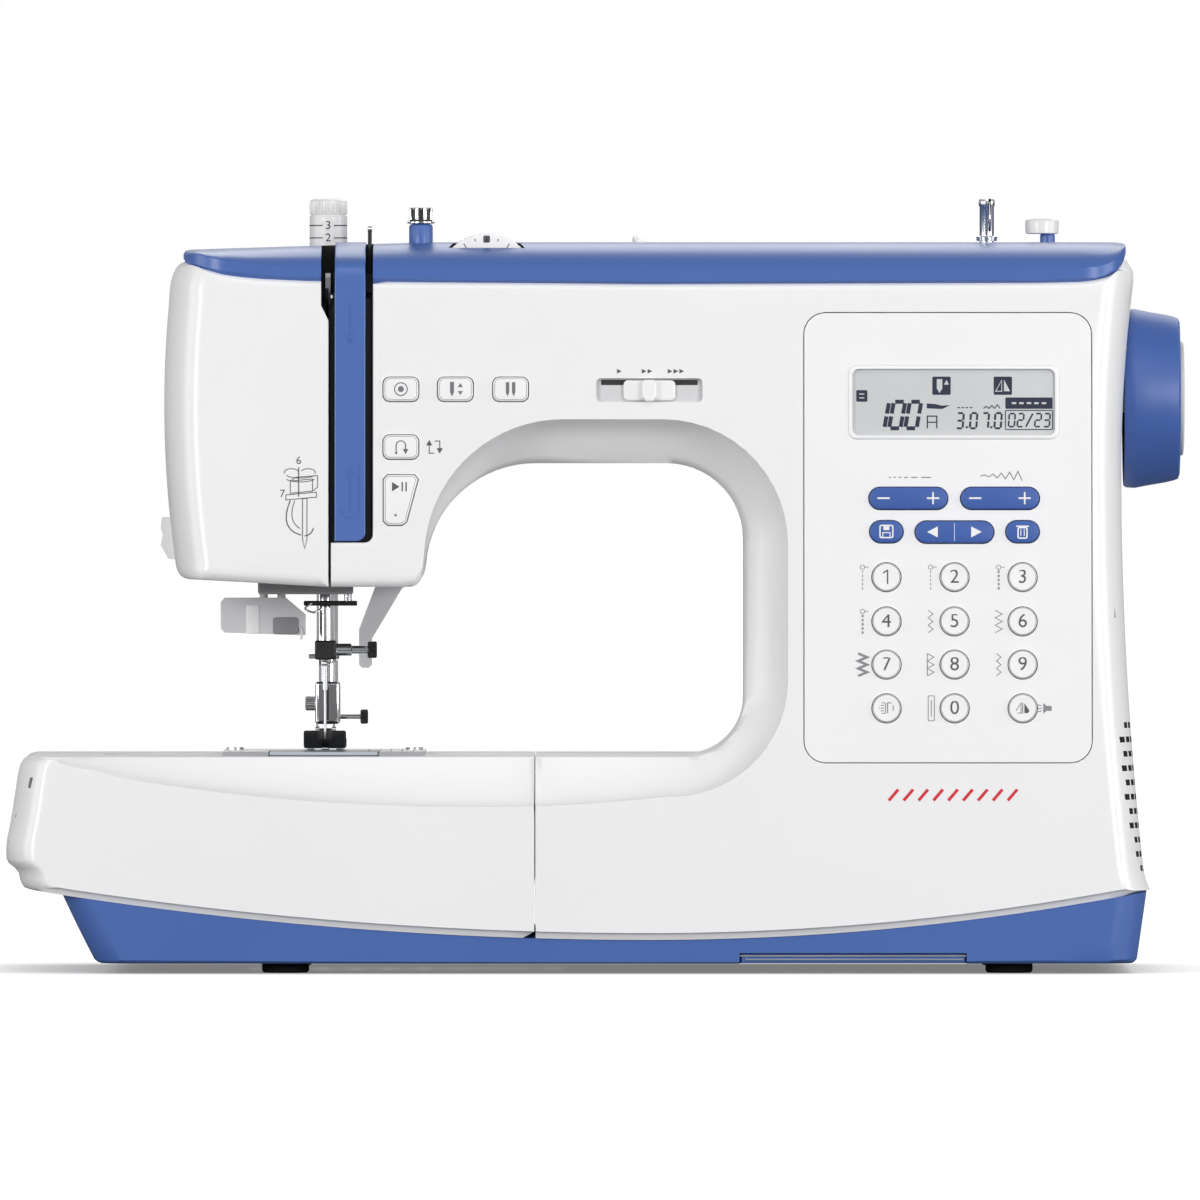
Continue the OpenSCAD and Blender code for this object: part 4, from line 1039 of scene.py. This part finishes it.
def lcd_digit(marks, char, x, z, w, h, thick, slant=0.12):
    """One seven-segment digit with its lower left corner at (x, z)."""
    half = h / 2
    lines = {"a": ((0, h), (w, h)), "b": ((w, h), (w, half)), "c": ((w, half), (w, 0)), "d": ((0, 0), (w, 0)),
             "e": ((0, half), (0, 0)), "f": ((0, h), (0, half)), "g": ((0, half), (w, half))}
    def lean(p):
        return (x + p[0] + slant * p[1], z + p[1])
    for name in SEGMENTS[char]:
        a, b = (np.array(p, float) for p in lines[name])
        ahead = (b - a) / np.linalg.norm(b - a) * thick * 0.35
        marks.line([lean(a + ahead), lean(b - ahead)], thick)
    if char == ".":
        marks.fill([lean(p) for p in ((0, 0), (thick, 0), (thick, thick), (0, thick))])
    if char == "/":
        marks.line([lean((0, 0)), lean((w, h))], thick)


def display():
    x, z, w, h = LCD_BOX
    rim = face_block(rounded(x, z, w - 0.1, h - 0.1, 2.9, 8), -0.5, 2.4, LCD_FRAME, 0.6)
    boolean(rim, [face_cutter([rounded(x, z, w - 3.0, h - 2.8, 2.4)], -1, 1.3)])
    film = face_block(rounded(x, z, w - 3.05, h - 2.85, 2.35, 8), 1.0, 1.6, LCD_GREY, 0.05)
    ink = Marks(1.0, 0.05)
    dark = Marks(1.0, 0.05)
    light = Marks(0.95, 0.05)
    box_w, box_h = 6.6, 6.6
    for bx, bz in ((124.3, 212.6), (146.4, 212.6)):
        dark.fill(rounded(bx, bz, box_w, box_h, 0.4, 3))
    light.fill([(122.6, 215), (124.6, 215), (124.6, 211.6), (123.6, 210), (122.6, 211.6)])
    light.fill([(125.2, 213), (127, 213), (126.1, 214.7)])
    light.fill([(146.8, 210.6), (146.8, 214.8), (149, 210.6)])
    light.line([(146, 210.6), (146, 214.6), (143.8, 210.6)], 0.3, closed=True)
    dark.fill(rounded(95.6, 208.9, 4.0, 4.2, 0.4, 3))
    light.line([(94.7, 208.2), (96.5, 208.2)], 0.4)
    light.line([(94.7, 209.6), (96.5, 209.6)], 0.4)
    for step, char in enumerate("100"):
        lcd_digit(ink, char, 99.6 + 5.8 * step, 197.2, 4.1, 9.6, 1.45, 0.18)
    ink.line([(119.2, 197.2), (119.2, 201.6), (122.6, 201.6), (122.6, 197.2)], 0.45)
    ink.line([(119.2, 199.4), (122.6, 199.4)], 0.45)
    ink.fill([(119, 204.4), (124.6, 204.2), (127.4, 205.6), (124.4, 205.4), (122, 206), (119, 206.2)])
    for start, text in ((129.6, "3.0"), (138.7, "7.0")):
        at = start
        for char in text:
            lcd_digit(ink, char, at, 197.2, 2.3, 5.5, 0.75, 0.08)
            at += 1.5 if char == "." else 3.4 if char != "7" else 3.1
    for step in range(4):
        ink.line([(130 + 1.5 * step, 204.7), (130.9 + 1.5 * step, 204.7)], 0.4)
    ink.line([(139.4 + 1.0 * k, 204.4 + (0.6 + 0.14 * k) * (k % 2)) for k in range(7)], 0.35)
    dark.fill(rounded(155.8, 206.3, 17, 4.1, 0.3, 3))
    for step in range(5):
        light.line([(149.6 + 2.7 * step, 206.3), (151.2 + 2.7 * step, 206.3)], 0.7)
    ink.line(rounded(155.8, 200.2, 17, 6.9, 0.4, 3), 0.35, closed=True)
    for step, char in enumerate("02/23"):
        lcd_digit(ink, char, 148.4 + 3.15 * step, 197.8, 2.1, 4.7, 0.6, 0.08)
    parts = [rim, film, ink.build(INK, "ink"), dark.build(INK, "dark"), light.build(LCD_GREY, "light")]
    piece(join("lcd_piece", parts), BODY, "lcd_glass", "lcd_display")


def stitch_icons():
    """Small printed stitch patterns beside the keys and above the two rocker keys."""
    icons = Marks(0.05)
    column = -8.6
    for index, name in enumerate(KEY_NAMES[:9]):
        x, z, _, _ = face_box(name)
        x += column
        if index in (0, 1, 2, 3):
            icons.line(circle(x, z + 3.6, 0.8, 12), 0.25, closed=True)
            icons.line([(x + 0.8, z + 3.6), (x + 2.2, z + 3.6)], 0.25)
            for step in range(5):
                low = z + 2.4 - 1.5 * step
                icons.line([(x, low), (x, low - 0.9)], (0.35, 0.3, 0.7, 0.7)[index])
        else:
            width = (0.9, 1.3, 1.6, 1.2, 0.8)[index - 4]
            zigzag = [(x + (width if k % 2 else -width), z + 4 - 1.35 * k) for k in range(7)]
            icons.line(zigzag, (0.3, 0.3, 0.9, 0.3, 0.3)[index - 4])
            if index == 7:
                icons.line([(x - 1.2, z + 4), (x - 1.2, z - 4)], 0.3)
    x, z, _, _ = face_box("key_0")
    icons.line(rounded(x + column + 0.2, z, 2.2, 9, 0.2, 3), 0.3, closed=True)
    icons.line([(x + column + 0.2, z - 3), (x + column + 0.2, z + 3)], 0.3)
    x, z, _, _ = face_box("key_mirror")
    icons.fill([(x + 7.4, z - 1.9), (x + 8.6, z - 0.9), (x + 10.4, z - 0.9), (x + 10.4, z + 0.9), (x + 8.6, z + 0.9),
                (x + 7.4, z + 1.9)])
    for tilt in (-1, 0, 1):
        icons.line([(x + 6.8, z + 0.9 * tilt), (x + 5.4, z + 1.3 * tilt)], 0.3)
    x, z, _, _ = face_box("key_length")
    for start, length in ((-7, 0.8), (-5.3, 0.8), (-3.5, 1.0), (-1.5, 1.4), (1, 2.4), (4.6, 3.6)):
        icons.line([(x + start, z + 7.6), (x + start + length, z + 7.6)], 0.4)
    x, z, _, _ = face_box("key_width")
    wave = [(x - 7 + 1.5 * k, z + 8.2 + (0.1 + 0.17 * k) * (1 if k % 2 else -1)) for k in range(11)]
    icons.line(wave, 0.35)
    piece(icons.build(PRINT_AND_SHADE, "stitch_icons"), BODY, "grey_plastic")
    row = Marks(0.0)
    for step in range(9):
        at = 105.2 + 5.35 * step
        row.line([(at, 62.6), (at + 3.4, 66.6)], 1.1)
    piece(row.build(RED, "red_stitches"), BODY, "grey_plastic")


def head_prints():
    """Threading diagram on the face cover, and the bracket icon beside the reverse button."""
    marks, thin = Marks(0.0, at=(-107.2, 0)), 0.3
    marks.text("6", 4, 0, 185.4)
    marks.text("7", 4, -5.9, 173.4)
    for lift in (180.6, 179.2):
        marks.line(arc(0.6, lift, 5.4, 200, 340, 12, 1.5), thin)
    marks.line(arc(-2.6, 181.2, 2.6, 20, 200, 10, 1.3), thin)
    marks.line(arc(3.4, 181.2, 2.6, -20, 160, 10, 1.3), thin)
    marks.line([(0, 183), (0, 172.4)], thin * 1.3)
    marks.line([(-3, 178), (5, 178.8), (5, 174.4), (-3, 173.6)], thin, closed=True)
    marks.line([(-3, 178), (-1, 179.4), (6.8, 180), (6.8, 175.8), (5, 174.4)], thin)
    marks.line([(-4.6, 173), (6.4, 174), (6.4, 172.2), (-4.6, 171.2)], thin, closed=True)
    marks.line([(1.4, 171.6), (1.4, 157), (2.2, 153.6), (3, 157), (3, 171.8)], thin, closed=True)
    marks.line(bezier((-3, 171), (-7.6, 160), (2.2, 158.2), 14), thin * 1.4)
    marks.line(bezier((-1.4, 171), (-4.4, 163), (1.4, 160.4), 12), thin)
    marks.line(bezier((2.2, 158.2), (5, 158.6), (5.4, 161.6), 10), thin * 1.4)
    piece(marks.build(PRINT_DARK, "threading_diagram"), BODY, "grey_plastic")
    icon = Marks(0.0, at=(-58.6, face_box("button_reverse")[1]))
    icon.line([(0.2, -2.2), (-1.6, -2.2), (-1.6, 1.2)], 0.35)
    icon.fill([(-2.7, 0.6), (-0.5, 0.6), (-1.6, 2.6)])
    icon.line([(0.4, 2.2), (2.2, 2.2), (2.2, -0.8)], 0.35)
    icon.fill([(1.1, -0.4), (2.2, -2.4), (3.3, -0.4)])
    piece(icon.build(PRINT_DARK, "bracket_icon"), BODY, "grey_plastic")


# ---------------------------------------------------------------- turned and small pieces
def handwheel():
    low, high = box_of("handwheel")
    x0, x1, r = low[0], high[0], (high[1] - low[1]) / 2
    profile = [(x0 + 9, 5), (x0 + 9, r - 7), (x0 - 2.6, r - 5), (x0 - 3.3, r - 4), (x0 - 3.3, r - 0.9),
               (x0 - 2.4, r - 0.2), (x0 + 0.8, r), (x0 + 6, r - 1.0), (x0 + 12, r - 2.0), (x1 - 3.4, r - 2.8),
               (x1 - 2.2, r - 3.3), (x1 - 1.6, r - 4.6), (x1 - 1.5, r - 7), (x1 - 1.7, 21.4), (x1 - 3, 21), (x1 - 3, 5)]
    wheel = lathe(profile, (0, 0, SHAFT_Z), "X", BLUE_DARK, 128, ribs=64, rib_depth=0.25, rib_span=(x0 + 1, x1 - 3))
    cap = lathe([(x1 - 3, 20.7), (x1 - 0.6, 20.6), (x1 - 0.15, 20), (x1 - 0.02, 18), (x1, 10), (x1, 0)],
                (0, 0, SHAFT_Z), "X", GREY, 96)
    node_piece("handwheel", "blue_plastic", wheel, cap, body="drive_shaft")


def pressure_dial():
    x, y, _ = centre_of("pressure_dial")
    place, low, top = (x, y, 0), box_of("pressure_dial")[0][2], box_of("pressure_dial")[1][2]
    body = lathe([(low, 6.4), (low + 0.4, 6.8), (top - 6.4, 6.8), (top - 6.1, 6.3), (top - 5.7, 6.3)],
                 place, "Z", DIAL, 72)
    boolean(body, [drum(4.2, low - 1, top - 8, place, "Z", DIAL)])
    knob = lathe([(top - 5.8, 6.3), (top - 5.5, 6.85), (top - 1.6, 6.85), (top - 0.7, 6.5), (top - 0.1, 5.4),
                  (top, 4), (top - 0.4, 2), (top - 0.5, 0)],
                 place, "Z", DIAL, 144, ribs=36, rib_depth=0.5, rib_span=(top - 5.6, top - 1.5))
    lines = (top - 9.7, top - 14.2)
    rings = [lathe([(z - 0.2, 6.7), (z - 0.2, 6.86), (z + 0.2, 6.86), (z + 0.2, 6.7)], place, "Z", BLACK, 72)
             for z in lines]
    patch, marks = Marks(y - 6.87, 0.05), Marks(y - 6.92, 0.05)
    for digit, z in zip("32", lines):
        patch.fill(rounded(x, z, 4, 3.9, 0.4, 3))
        marks.text(digit, 4.2, x, z)
    node_piece("pressure_dial", "white_plastic", body, knob, *rings, patch.build(DIAL, on_face=False),
               marks.build(BLACK, on_face=False))


def tension_dial():
    low, high = box_of("tension_dial")
    x, _, z = centre_of("tension_dial")
    y0, y1, r = low[1], high[1], (high[0] - low[0]) / 2
    disc = lathe([(y0, 3), (y0, r - 1.2), (y0 + 0.4, r - 0.3), (y0 + 1.1, r), (y1 - 1.1, r), (y1 - 0.4, r - 0.3),
                  (y1, r - 1.2), (y1, 3)],
                 (x, 0, z), "Y", WHITE, 128, ribs=64, rib_depth=0.25, rib_span=(y0 + 1, y1 - 1))
    marks = Marks(y0, 0.05, (x, z))
    for step in range(-6, 7):
        ray = np.array([math.cos(math.radians(90 + step * 15)), math.sin(math.radians(90 + step * 15))])
        marks.line([ray * (r - (3.2 if step % 2 == 0 else 2.4)), ray * (r - 1.5)], 0.35)
    marks.fill(rounded(0, r - 2.1, 2.4, 2.6, 0.4, 3))
    node_piece("tension_dial", "white_plastic", disc, marks.build(PRINT_DARK, on_face=False))


def thread_posts():
    """Bobbin tension post, winder stop, spool pin with its cap, and the hook guide."""
    post, stop, spool = (-63.4, -28, 0), (163.3, -8, 0), (0, *SPOOL)
    parts = [
        lathe([(258, 4.3), (268.8, 4.3), (269.6, 3.9), (269.8, 3)], post, "Z", BLUE, 48),
        lathe([(262, 2), (269.8, 2), (269.9, 4.7), (270.2, 5), (270.6, 5), (270.8, 4.4), (270.9, 3.9), (271.2, 3.9),
               (271.4, 4.6), (275.3, 4.6), (275.6, 4.3), (275.7, 3.4)],
              post, "Z", BRIGHT, 96, ribs=8, rib_depth=1.2, rib_span=(271.3, 275.4)),
        drum(4.1, 270.8, 275.2, post, "Z", BLACK),
        lathe([(258, 2.7), (265.4, 2.7), (266.2, 2.5)], stop, "Z", BLUE, 40),
        lathe([(266.2, 5.2), (266.5, 6), (270.4, 6.1), (271.2, 5.9), (271.7, 5.2), (271.8, 3.5)],
              (161.3, -8, 0), "Z", DIAL, 64),
        lathe([(16, 1.4), (16.6, 2.4), (17.4, 2.6), (112, 2.6)], spool, "X", WHITE, 40),
        lathe([(13, 4), (13.1, 12.8), (13.6, 13.6), (14.6, 13.5), (15.4, 12.4), (22, 10.4), (30, 8.4), (36, 7),
               (37, 6.2), (37, 3)], spool, "X", WHITE, 72),
        bevelled(block(-82.5, -81.1, -38.6, -33.4, 252, 267.6, DARK_METAL_AND_SHADE), 0.3),
        lathe([(-82.6, 0.8), (-82.5, 1.4), (-81.1, 1.4), (-81, 0.8)], (0, -36, 267.7), "X", CHROME, 24)]
    piece(join("thread_posts_piece", parts), BODY, "chrome", "thread_posts")


def winder_spindle():
    x, y, _ = centre_of("winder_spindle")
    top = box_of("winder_spindle")[1][2]
    spindle = lathe([(250, 2.6), (263.6, 2.6), (263.7, 3.7), (265.2, 3.8), (265.4, 3.5), (265.5, 2.6), (top - 3, 2.6),
                     (top - 2.6, 2.9), (top - 0.8, 2.9), (top - 0.2, 2.6), (top, 2)], (x, y, 0), "Z", BRIGHT, 56)
    # The slot's dark walls are painted shade.
    boolean(spindle, [block(x + 0.6, x + 1.5, y - 4, y - 0.4, 267, top + 1, DARK_METAL_AND_SHADE)])
    spring = wire([(x + 1.05, y - dy, z) for dy, z in ((1.2, 266.6), (2.7, 270), (2.9, 273), (1.4, 277.6))],
                  0.3, CHROME)
    piece(join("winder_spindle_all", [spindle, spring]), "winder_spindle", "chrome", "winder_spindle")


def keep(node, mat, width=0.3):
    """A CAD node whose shape is right: better material and softened edges."""
    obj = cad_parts[node]
    obj.data.materials.clear()
    obj.data.materials.append(mat)
    obj.data.set_sharp_from_angle(angle=math.radians(35))
    if width:
        bevelled(obj, width)


def kept_nodes():
    for node, mat, width in (
            ("chassis", CAST, 0), ("main_motor", DARK_METAL_AND_SHADE, 0), ("motor_pulley", STEEL, 0),
            ("main_shaft", STEEL, 0.3), ("rotary_hook", STEEL, 0.3), ("bobbin", CLEAR, 0.2),
            ("bobbin_cover", CLEAR, 0.3), ("needle_bar_frame", CAST, 0.4), ("feed_dog", STEEL, 0.15),
            ("needle_plate", STEEL, 0.2), ("casing_screws", STEEL, 0.2), ("free_arm_cover", WHITE, 0.5),
            ("power_inlet", BLACK, 0.4), ("power_switch", BLACK, 0.5), ("rubber_feet", RUBBER, 0.3),
            ("needle", STEEL, 0), ("take_up_lever", CHROME, 0.3), ("lifter_lever", GREY, 0.8),
            ("carry_handle", WHITE, 1.6)):
        keep(node, mat, width)


# ---------------------------------------------------------------- under the head
def thumb_screw(origin, r, length, mat):
    """Knurled head of a thumb screw along X, from its origin on."""
    return lathe([(0, r * 0.75), (0.3, r), (length - 0.3, r), (length, r * 0.8)], origin, "X", mat, 72,
                 ribs=24, rib_depth=0.3, rib_span=(0.2, length - 0.2))


def needle_bar():
    low, high = box_of("needle_bar")
    place = (centre_of("needle")[0], 0.0, 0)
    clamp_low, clamp_top = low[2], low[2] + 7
    collar = lathe([(clamp_low - 2.2, 1.6), (clamp_low - 2, 2.1), (clamp_low + 0.2, 2.2)], place, "Z", CHROME, 32)
    boolean(collar, [drum(1.1, clamp_low - 4, clamp_low + 1, place, "Z", CHROME, 24)])
    screw_line = (0, 0, 115.6)
    node_piece(
        "needle_bar", "chrome",
        lathe([(clamp_top - 5, 3.1), (high[2] - 0.6, 3.1), (high[2], 2.6)], place, "Z", CHROME, 48),
        bevelled(block(-102, -94.3, -4, 4, clamp_low, clamp_top, BLACK), 0.7), collar,
        drum(1.5, -94.4, -82.6, screw_line, "X", CHROME, 32),
        lathe([(-94.4, 2.3), (-88.9, 2.3), (-88.6, 2.0), (-88.6, 1.4)], screw_line, "X", CHROME, 32),
        thumb_screw((-82.9, 0, 115.6), 3.1, 3.4, BLACK),
        lathe([(-104.2, 0.6), (-104, 0.85), (-101.8, 0.85)], (0, -2, 113.2), "X", CHROME, 20),
        wire([(-94.6, -3.4, 114.4), (-93.4, -5.6, 112.6), (-96.4, -6.4, 111), (-99.6, -5.8, 110.8)], 0.35, CHROME))


def wire(points, r, mat, steps=10):
    """Round wire along a smooth line through the points."""
    points = [Vector(p) for p in points]
    line = []
    for k in range(len(points) - 1):
        a, b = points[max(k - 1, 0)], points[k]
        c, d = points[k + 1], points[min(k + 2, len(points) - 1)]
        for t in (i / steps for i in range(steps)):
            line.append(0.5 * ((2 * b) + (c - a) * t + (2 * a - 5 * b + 4 * c - d) * t * t
                               + (3 * b - a - 3 * c + d) * t ** 3))
    line.append(points[-1])
    loops = []
    for k, at in enumerate(line):
        ahead = (line[min(k + 1, len(line) - 1)] - line[max(k - 1, 0)]).normalized()
        side = ahead.orthogonal().normalized() if k == 0 else (side - ahead * side.dot(ahead)).normalized()
        up = ahead.cross(side)
        loops.append(np.array([at + side * r * math.cos(t) + up * r * math.sin(t)
                               for t in np.linspace(0, 2 * math.pi, 10, endpoint=False)]))
    return loft("wire", loops, mat)


def presser_bar():
    top = box_of("presser_bar")[1][2]
    bar = lathe([(92, 3.5), (top - 0.6, 3.5), (top, 3)], (*PRESSER, 0), "Z", CHROME, 48)
    holder = bevelled(block(-102, -92.9, 6.4, 17, 88.5, 104, CHROME), 1.2, 3)
    # The groove is drawn as a raised dark line, not cut: painted shade.
    groove_shade = Marks(6.4, 0.2)
    groove_shade.line([(-97.4, 90), (-97.4, 102)], 0.8)
    pin_line = (0, 10, 86)
    ears = [lathe([(at, 2.6), (at + 0.3, 3), (at + 1.3, 3), (at + 1.6, 2.6)], pin_line, "X", CHROME, 40)
            for at in (-102, -96)]
    ears += [bevelled(block(at, at + 1.6, 7.2, 12.8, 86, 89, CHROME), 0.2) for at in (-102, -96)]
    for ear in ears:
        boolean(ear, [drum(1.06, -103, -93, pin_line, "X", CHROME, 24)])
    node_piece("presser_bar", "chrome", bar, holder, groove_shade.build(DARK_METAL_AND_SHADE, on_face=False), *ears,
               thumb_screw((-105.6, 11, 96), 2.7, 4, CHROME), drum(0.9, -93.4, -85, (0, 11, 91.2), "X", CHROME, 24),
               thumb_screw((-85.6, 11, 91.2), 2.7, 2.8, BLACK))


def presser_foot():
    """Black foot with upturned toes either side of the needle slot, and a bright pin."""
    low, high = box_of("presser_foot")
    x0, x1, sole = low[0], high[0], low[2]
    side = [(-11.6, 83), (-9.6, 80.9), (-7, sole), (10, sole), (12.4, 81), (high[1], 82.8), (high[1] - 0.2, 83.4),
            (-4, 83.4), (-6.6, 83.8), (-10.4, 86.2), (-12.2, 86.5), (-12.9, 85.4)]
    foot = loft("foot", [at_side(inset(side, inward), x)
                         for x, inward in ((x0, 0.5), (x0 + 0.5, 0), (x1 - 0.5, 0), (x1, 0.5))], BLACK)
    notch = [(-101.4, -14), (-95.2, -14), (-97.2, -7), (-97.4, 3), (-99.2, 3), (-99.4, -7)]
    boolean(foot, [slab_z(outline, 75, 90, DARK_METAL_AND_SHADE) for outline in (notch, rounded(NEEDLE_X, 0, 9.6, 3, 1.4))])
    bridge = bevelled(block(-100.2, -96.2, 7, 13, 82, 87, BLACK), 0.8)
    pin = lathe([(-102, 0.8), (-101.8, 1), (-94.6, 1), (-94.4, 0.8)], (0, 10, 86), "X", CHROME, 24)
    node_piece("presser_foot", "black_plastic", foot, bridge, pin)


def threader():
    front = box_of("needle_threader")[0][1]
    keep("needle_threader", GREY, 0.9)
    insert = slab_y("insert", rounded(-112.4, 124.4, 9.2, 6.2, 1, 4), front - 0.5, front + 0.3, PRINT_AND_SHADE, 0.3)
    band = slab_y("band", rounded(-124.4, 126.6, 4.6, 10.4, 0.4, 3), front - 0.3, front + 0.3, WHITE, 0.2)
    hook = wire([(-107.6, front - 0.2, 124.6), (-106.6, front - 0.8, 122.6), (-106.8, front - 1, 119.4)], 0.4, GREY)
    piece(join("threader_trim", [insert, band, hook]), "needle_threader", "grey_plastic")


def head_guides():
    """Bracket and thread guide plate under the head."""
    bracket = bevelled(block(-122.5, -88, -16, -6.6, HEAD_BOTTOM - 3.2, HEAD_BOTTOM + 2, BRACKET), 0.8)
    plate = bevelled(block(-106, -86.6, -8.2, -5.2, 131.6, 133.4, BLACK), 0.4)
    post = lathe([(131.6, 1.4), (HEAD_BOTTOM, 1.4)], (-90, -6.6, 0), "Z", CHROME, 24)
    guide = wire([(-103, -8, 132.6), (-105.4, -9.4, 130.6), (-102.4, -10, 129.2), (-99.6, -9, 130.4)], 0.4, CHROME)
    piece(join("head_guides", [bracket, plate, post, guide]), BODY, "grey_plastic")


def table_marks():
    """Printed seam guide lines on the needle plate's top."""
    top = box_of("needle_plate")[1][2]
    places = [NEEDLE_X + 16 + 4 * step for step in range(5)]
    piece(join("seam_lines", [block(x - 0.15, x + 0.15, -30, 30, top - 0.02, top + 0.04, PRINT_DARK) for x in places]),
          BODY, "steel")


# ---------------------------------------------------------------- room, light and camera
def stage():
    """Pale flat floor, white to the camera apart from the contact shadow."""
    half = 30.0
    mesh = bpy.data.meshes.new("floor")
    mesh.from_pydata([(-half, -half, 0), (half, -half, 0), (half, half, 0), (-half, half, 0)], [], [(0, 1, 2, 3)])
    mat = material("pale_floor", (0.24, 0.24, 0.243, 1), 0.85, grain=0.02, tint=0.0)
    nodes, links = mat.node_tree.nodes, mat.node_tree.links
    shader = nodes["Principled BSDF"]
    shader.inputs["Emission Color"].default_value = (1, 1, 1, 1)
    shader.inputs["Specular IOR Level"].default_value = 0
    near = nodes.new("ShaderNodeAmbientOcclusion")
    near.inputs["Distance"].default_value = 0.055
    near.samples = 8
    shadow = nodes.new("ShaderNodeMapRange")
    shadow.inputs["To Min"].default_value = 0.2
    links.new(near.outputs["AO"], shadow.inputs["Value"])
    path = nodes.new("ShaderNodeLightPath")
    glow = nodes.new("ShaderNodeMath")
    glow.operation = "MULTIPLY"
    links.new(path.outputs["Is Camera Ray"], glow.inputs[0])
    links.new(shadow.outputs["Result"], glow.inputs[1])
    links.new(glow.outputs["Value"], shader.inputs["Emission Strength"])
    mesh.materials.append(mat)
    floor = bpy.data.objects.new("floor", mesh)
    bpy.context.scene.collection.objects.link(floor)


def area_light(name, place, target, size, power):
    data = bpy.data.lights.new(name, "AREA")
    data.shape = "RECTANGLE"
    data.size, data.size_y = size
    data.energy = power
    lamp = bpy.data.objects.new(name, data)
    lamp.location = place
    lamp.rotation_euler = (Vector(target) - Vector(place)).to_track_quat("-Z", "Y").to_euler()
    bpy.context.scene.collection.objects.link(lamp)


def lights():
    """Bright white surroundings, a large key light from above and softer ones from the front and the sides."""
    world = bpy.data.worlds.new("studio")
    world.use_nodes = True
    tree = world.node_tree
    sky = tree.nodes["Background"]
    sky.inputs["Color"].default_value = (1, 1, 1, 1)
    path = tree.nodes.new("ShaderNodeLightPath")
    strength = None
    for ray, gain, base in (("Is Camera Ray", 0.74, 0.26), ("Is Glossy Ray", 0.16, None)):
        node = tree.nodes.new("ShaderNodeMath")
        node.operation = "MULTIPLY_ADD"
        tree.links.new(path.outputs[ray], node.inputs[0])
        node.inputs[1].default_value = gain
        if strength is None:
            node.inputs[2].default_value = base
        else:
            tree.links.new(strength, node.inputs[2])
        strength = node.outputs["Value"]
    tree.links.new(strength, sky.inputs["Strength"])
    bpy.context.scene.world = world
    middle = (0, 0, 0.14)
    for name, place, size, power in (("key", (0.25, -1.5, 1.55), (1.3, 0.9), 7),
                                     ("front_left", (-1.2, -1.7, 0.5), (0.7, 0.7), 14.5),
                                     ("front_right", (1.2, -1.7, 0.5), (0.7, 0.7), 14.5),
                                     ("side_left", (-1.7, -0.5, 0.4), (0.8, 0.8), 6),
                                     ("side_right", (1.7, -0.5, 0.4), (0.8, 0.8), 9),
                                     ("rear", (0.3, 1.6, 1.2), (1.3, 0.9), 8)):
        area_light(name, place, middle, size, power)


def camera():
    """Long lens from the front, slightly above, framed as in the photograph."""
    data = bpy.data.cameras.new("camera")
    data.sensor_width = 36
    data.lens = 900
    distance = FRAME_WIDTH * data.lens / data.sensor_width
    rise = math.radians(0.6)
    target = Vector((0.0013, 0, 0.1336))
    place = target + Vector((0, -math.cos(rise), math.sin(rise))) * (distance + 0.07)
    data.clip_end = distance * 3
    view = bpy.data.objects.new("camera", data)
    view.location = place
    view.rotation_euler = (target - place).to_track_quat("-Z", "Y").to_euler()
    bpy.context.scene.collection.objects.link(view)
    bpy.context.scene.camera = view
    bpy.context.scene.view_settings.view_transform = "Standard"


for build in (
        camera, lights, stage, front_casing, rear_casing, face_casing, table_casing, cover_casing, tray_casing,
        guide_strip, panel_plate, number_keys, pill_keys, arm_buttons, speed_slider, display, stitch_icons,
        head_prints, handwheel, pressure_dial, tension_dial, thread_posts, winder_spindle, kept_nodes,
        needle_bar, presser_bar, presser_foot, threader, head_guides, table_marks):
    build()
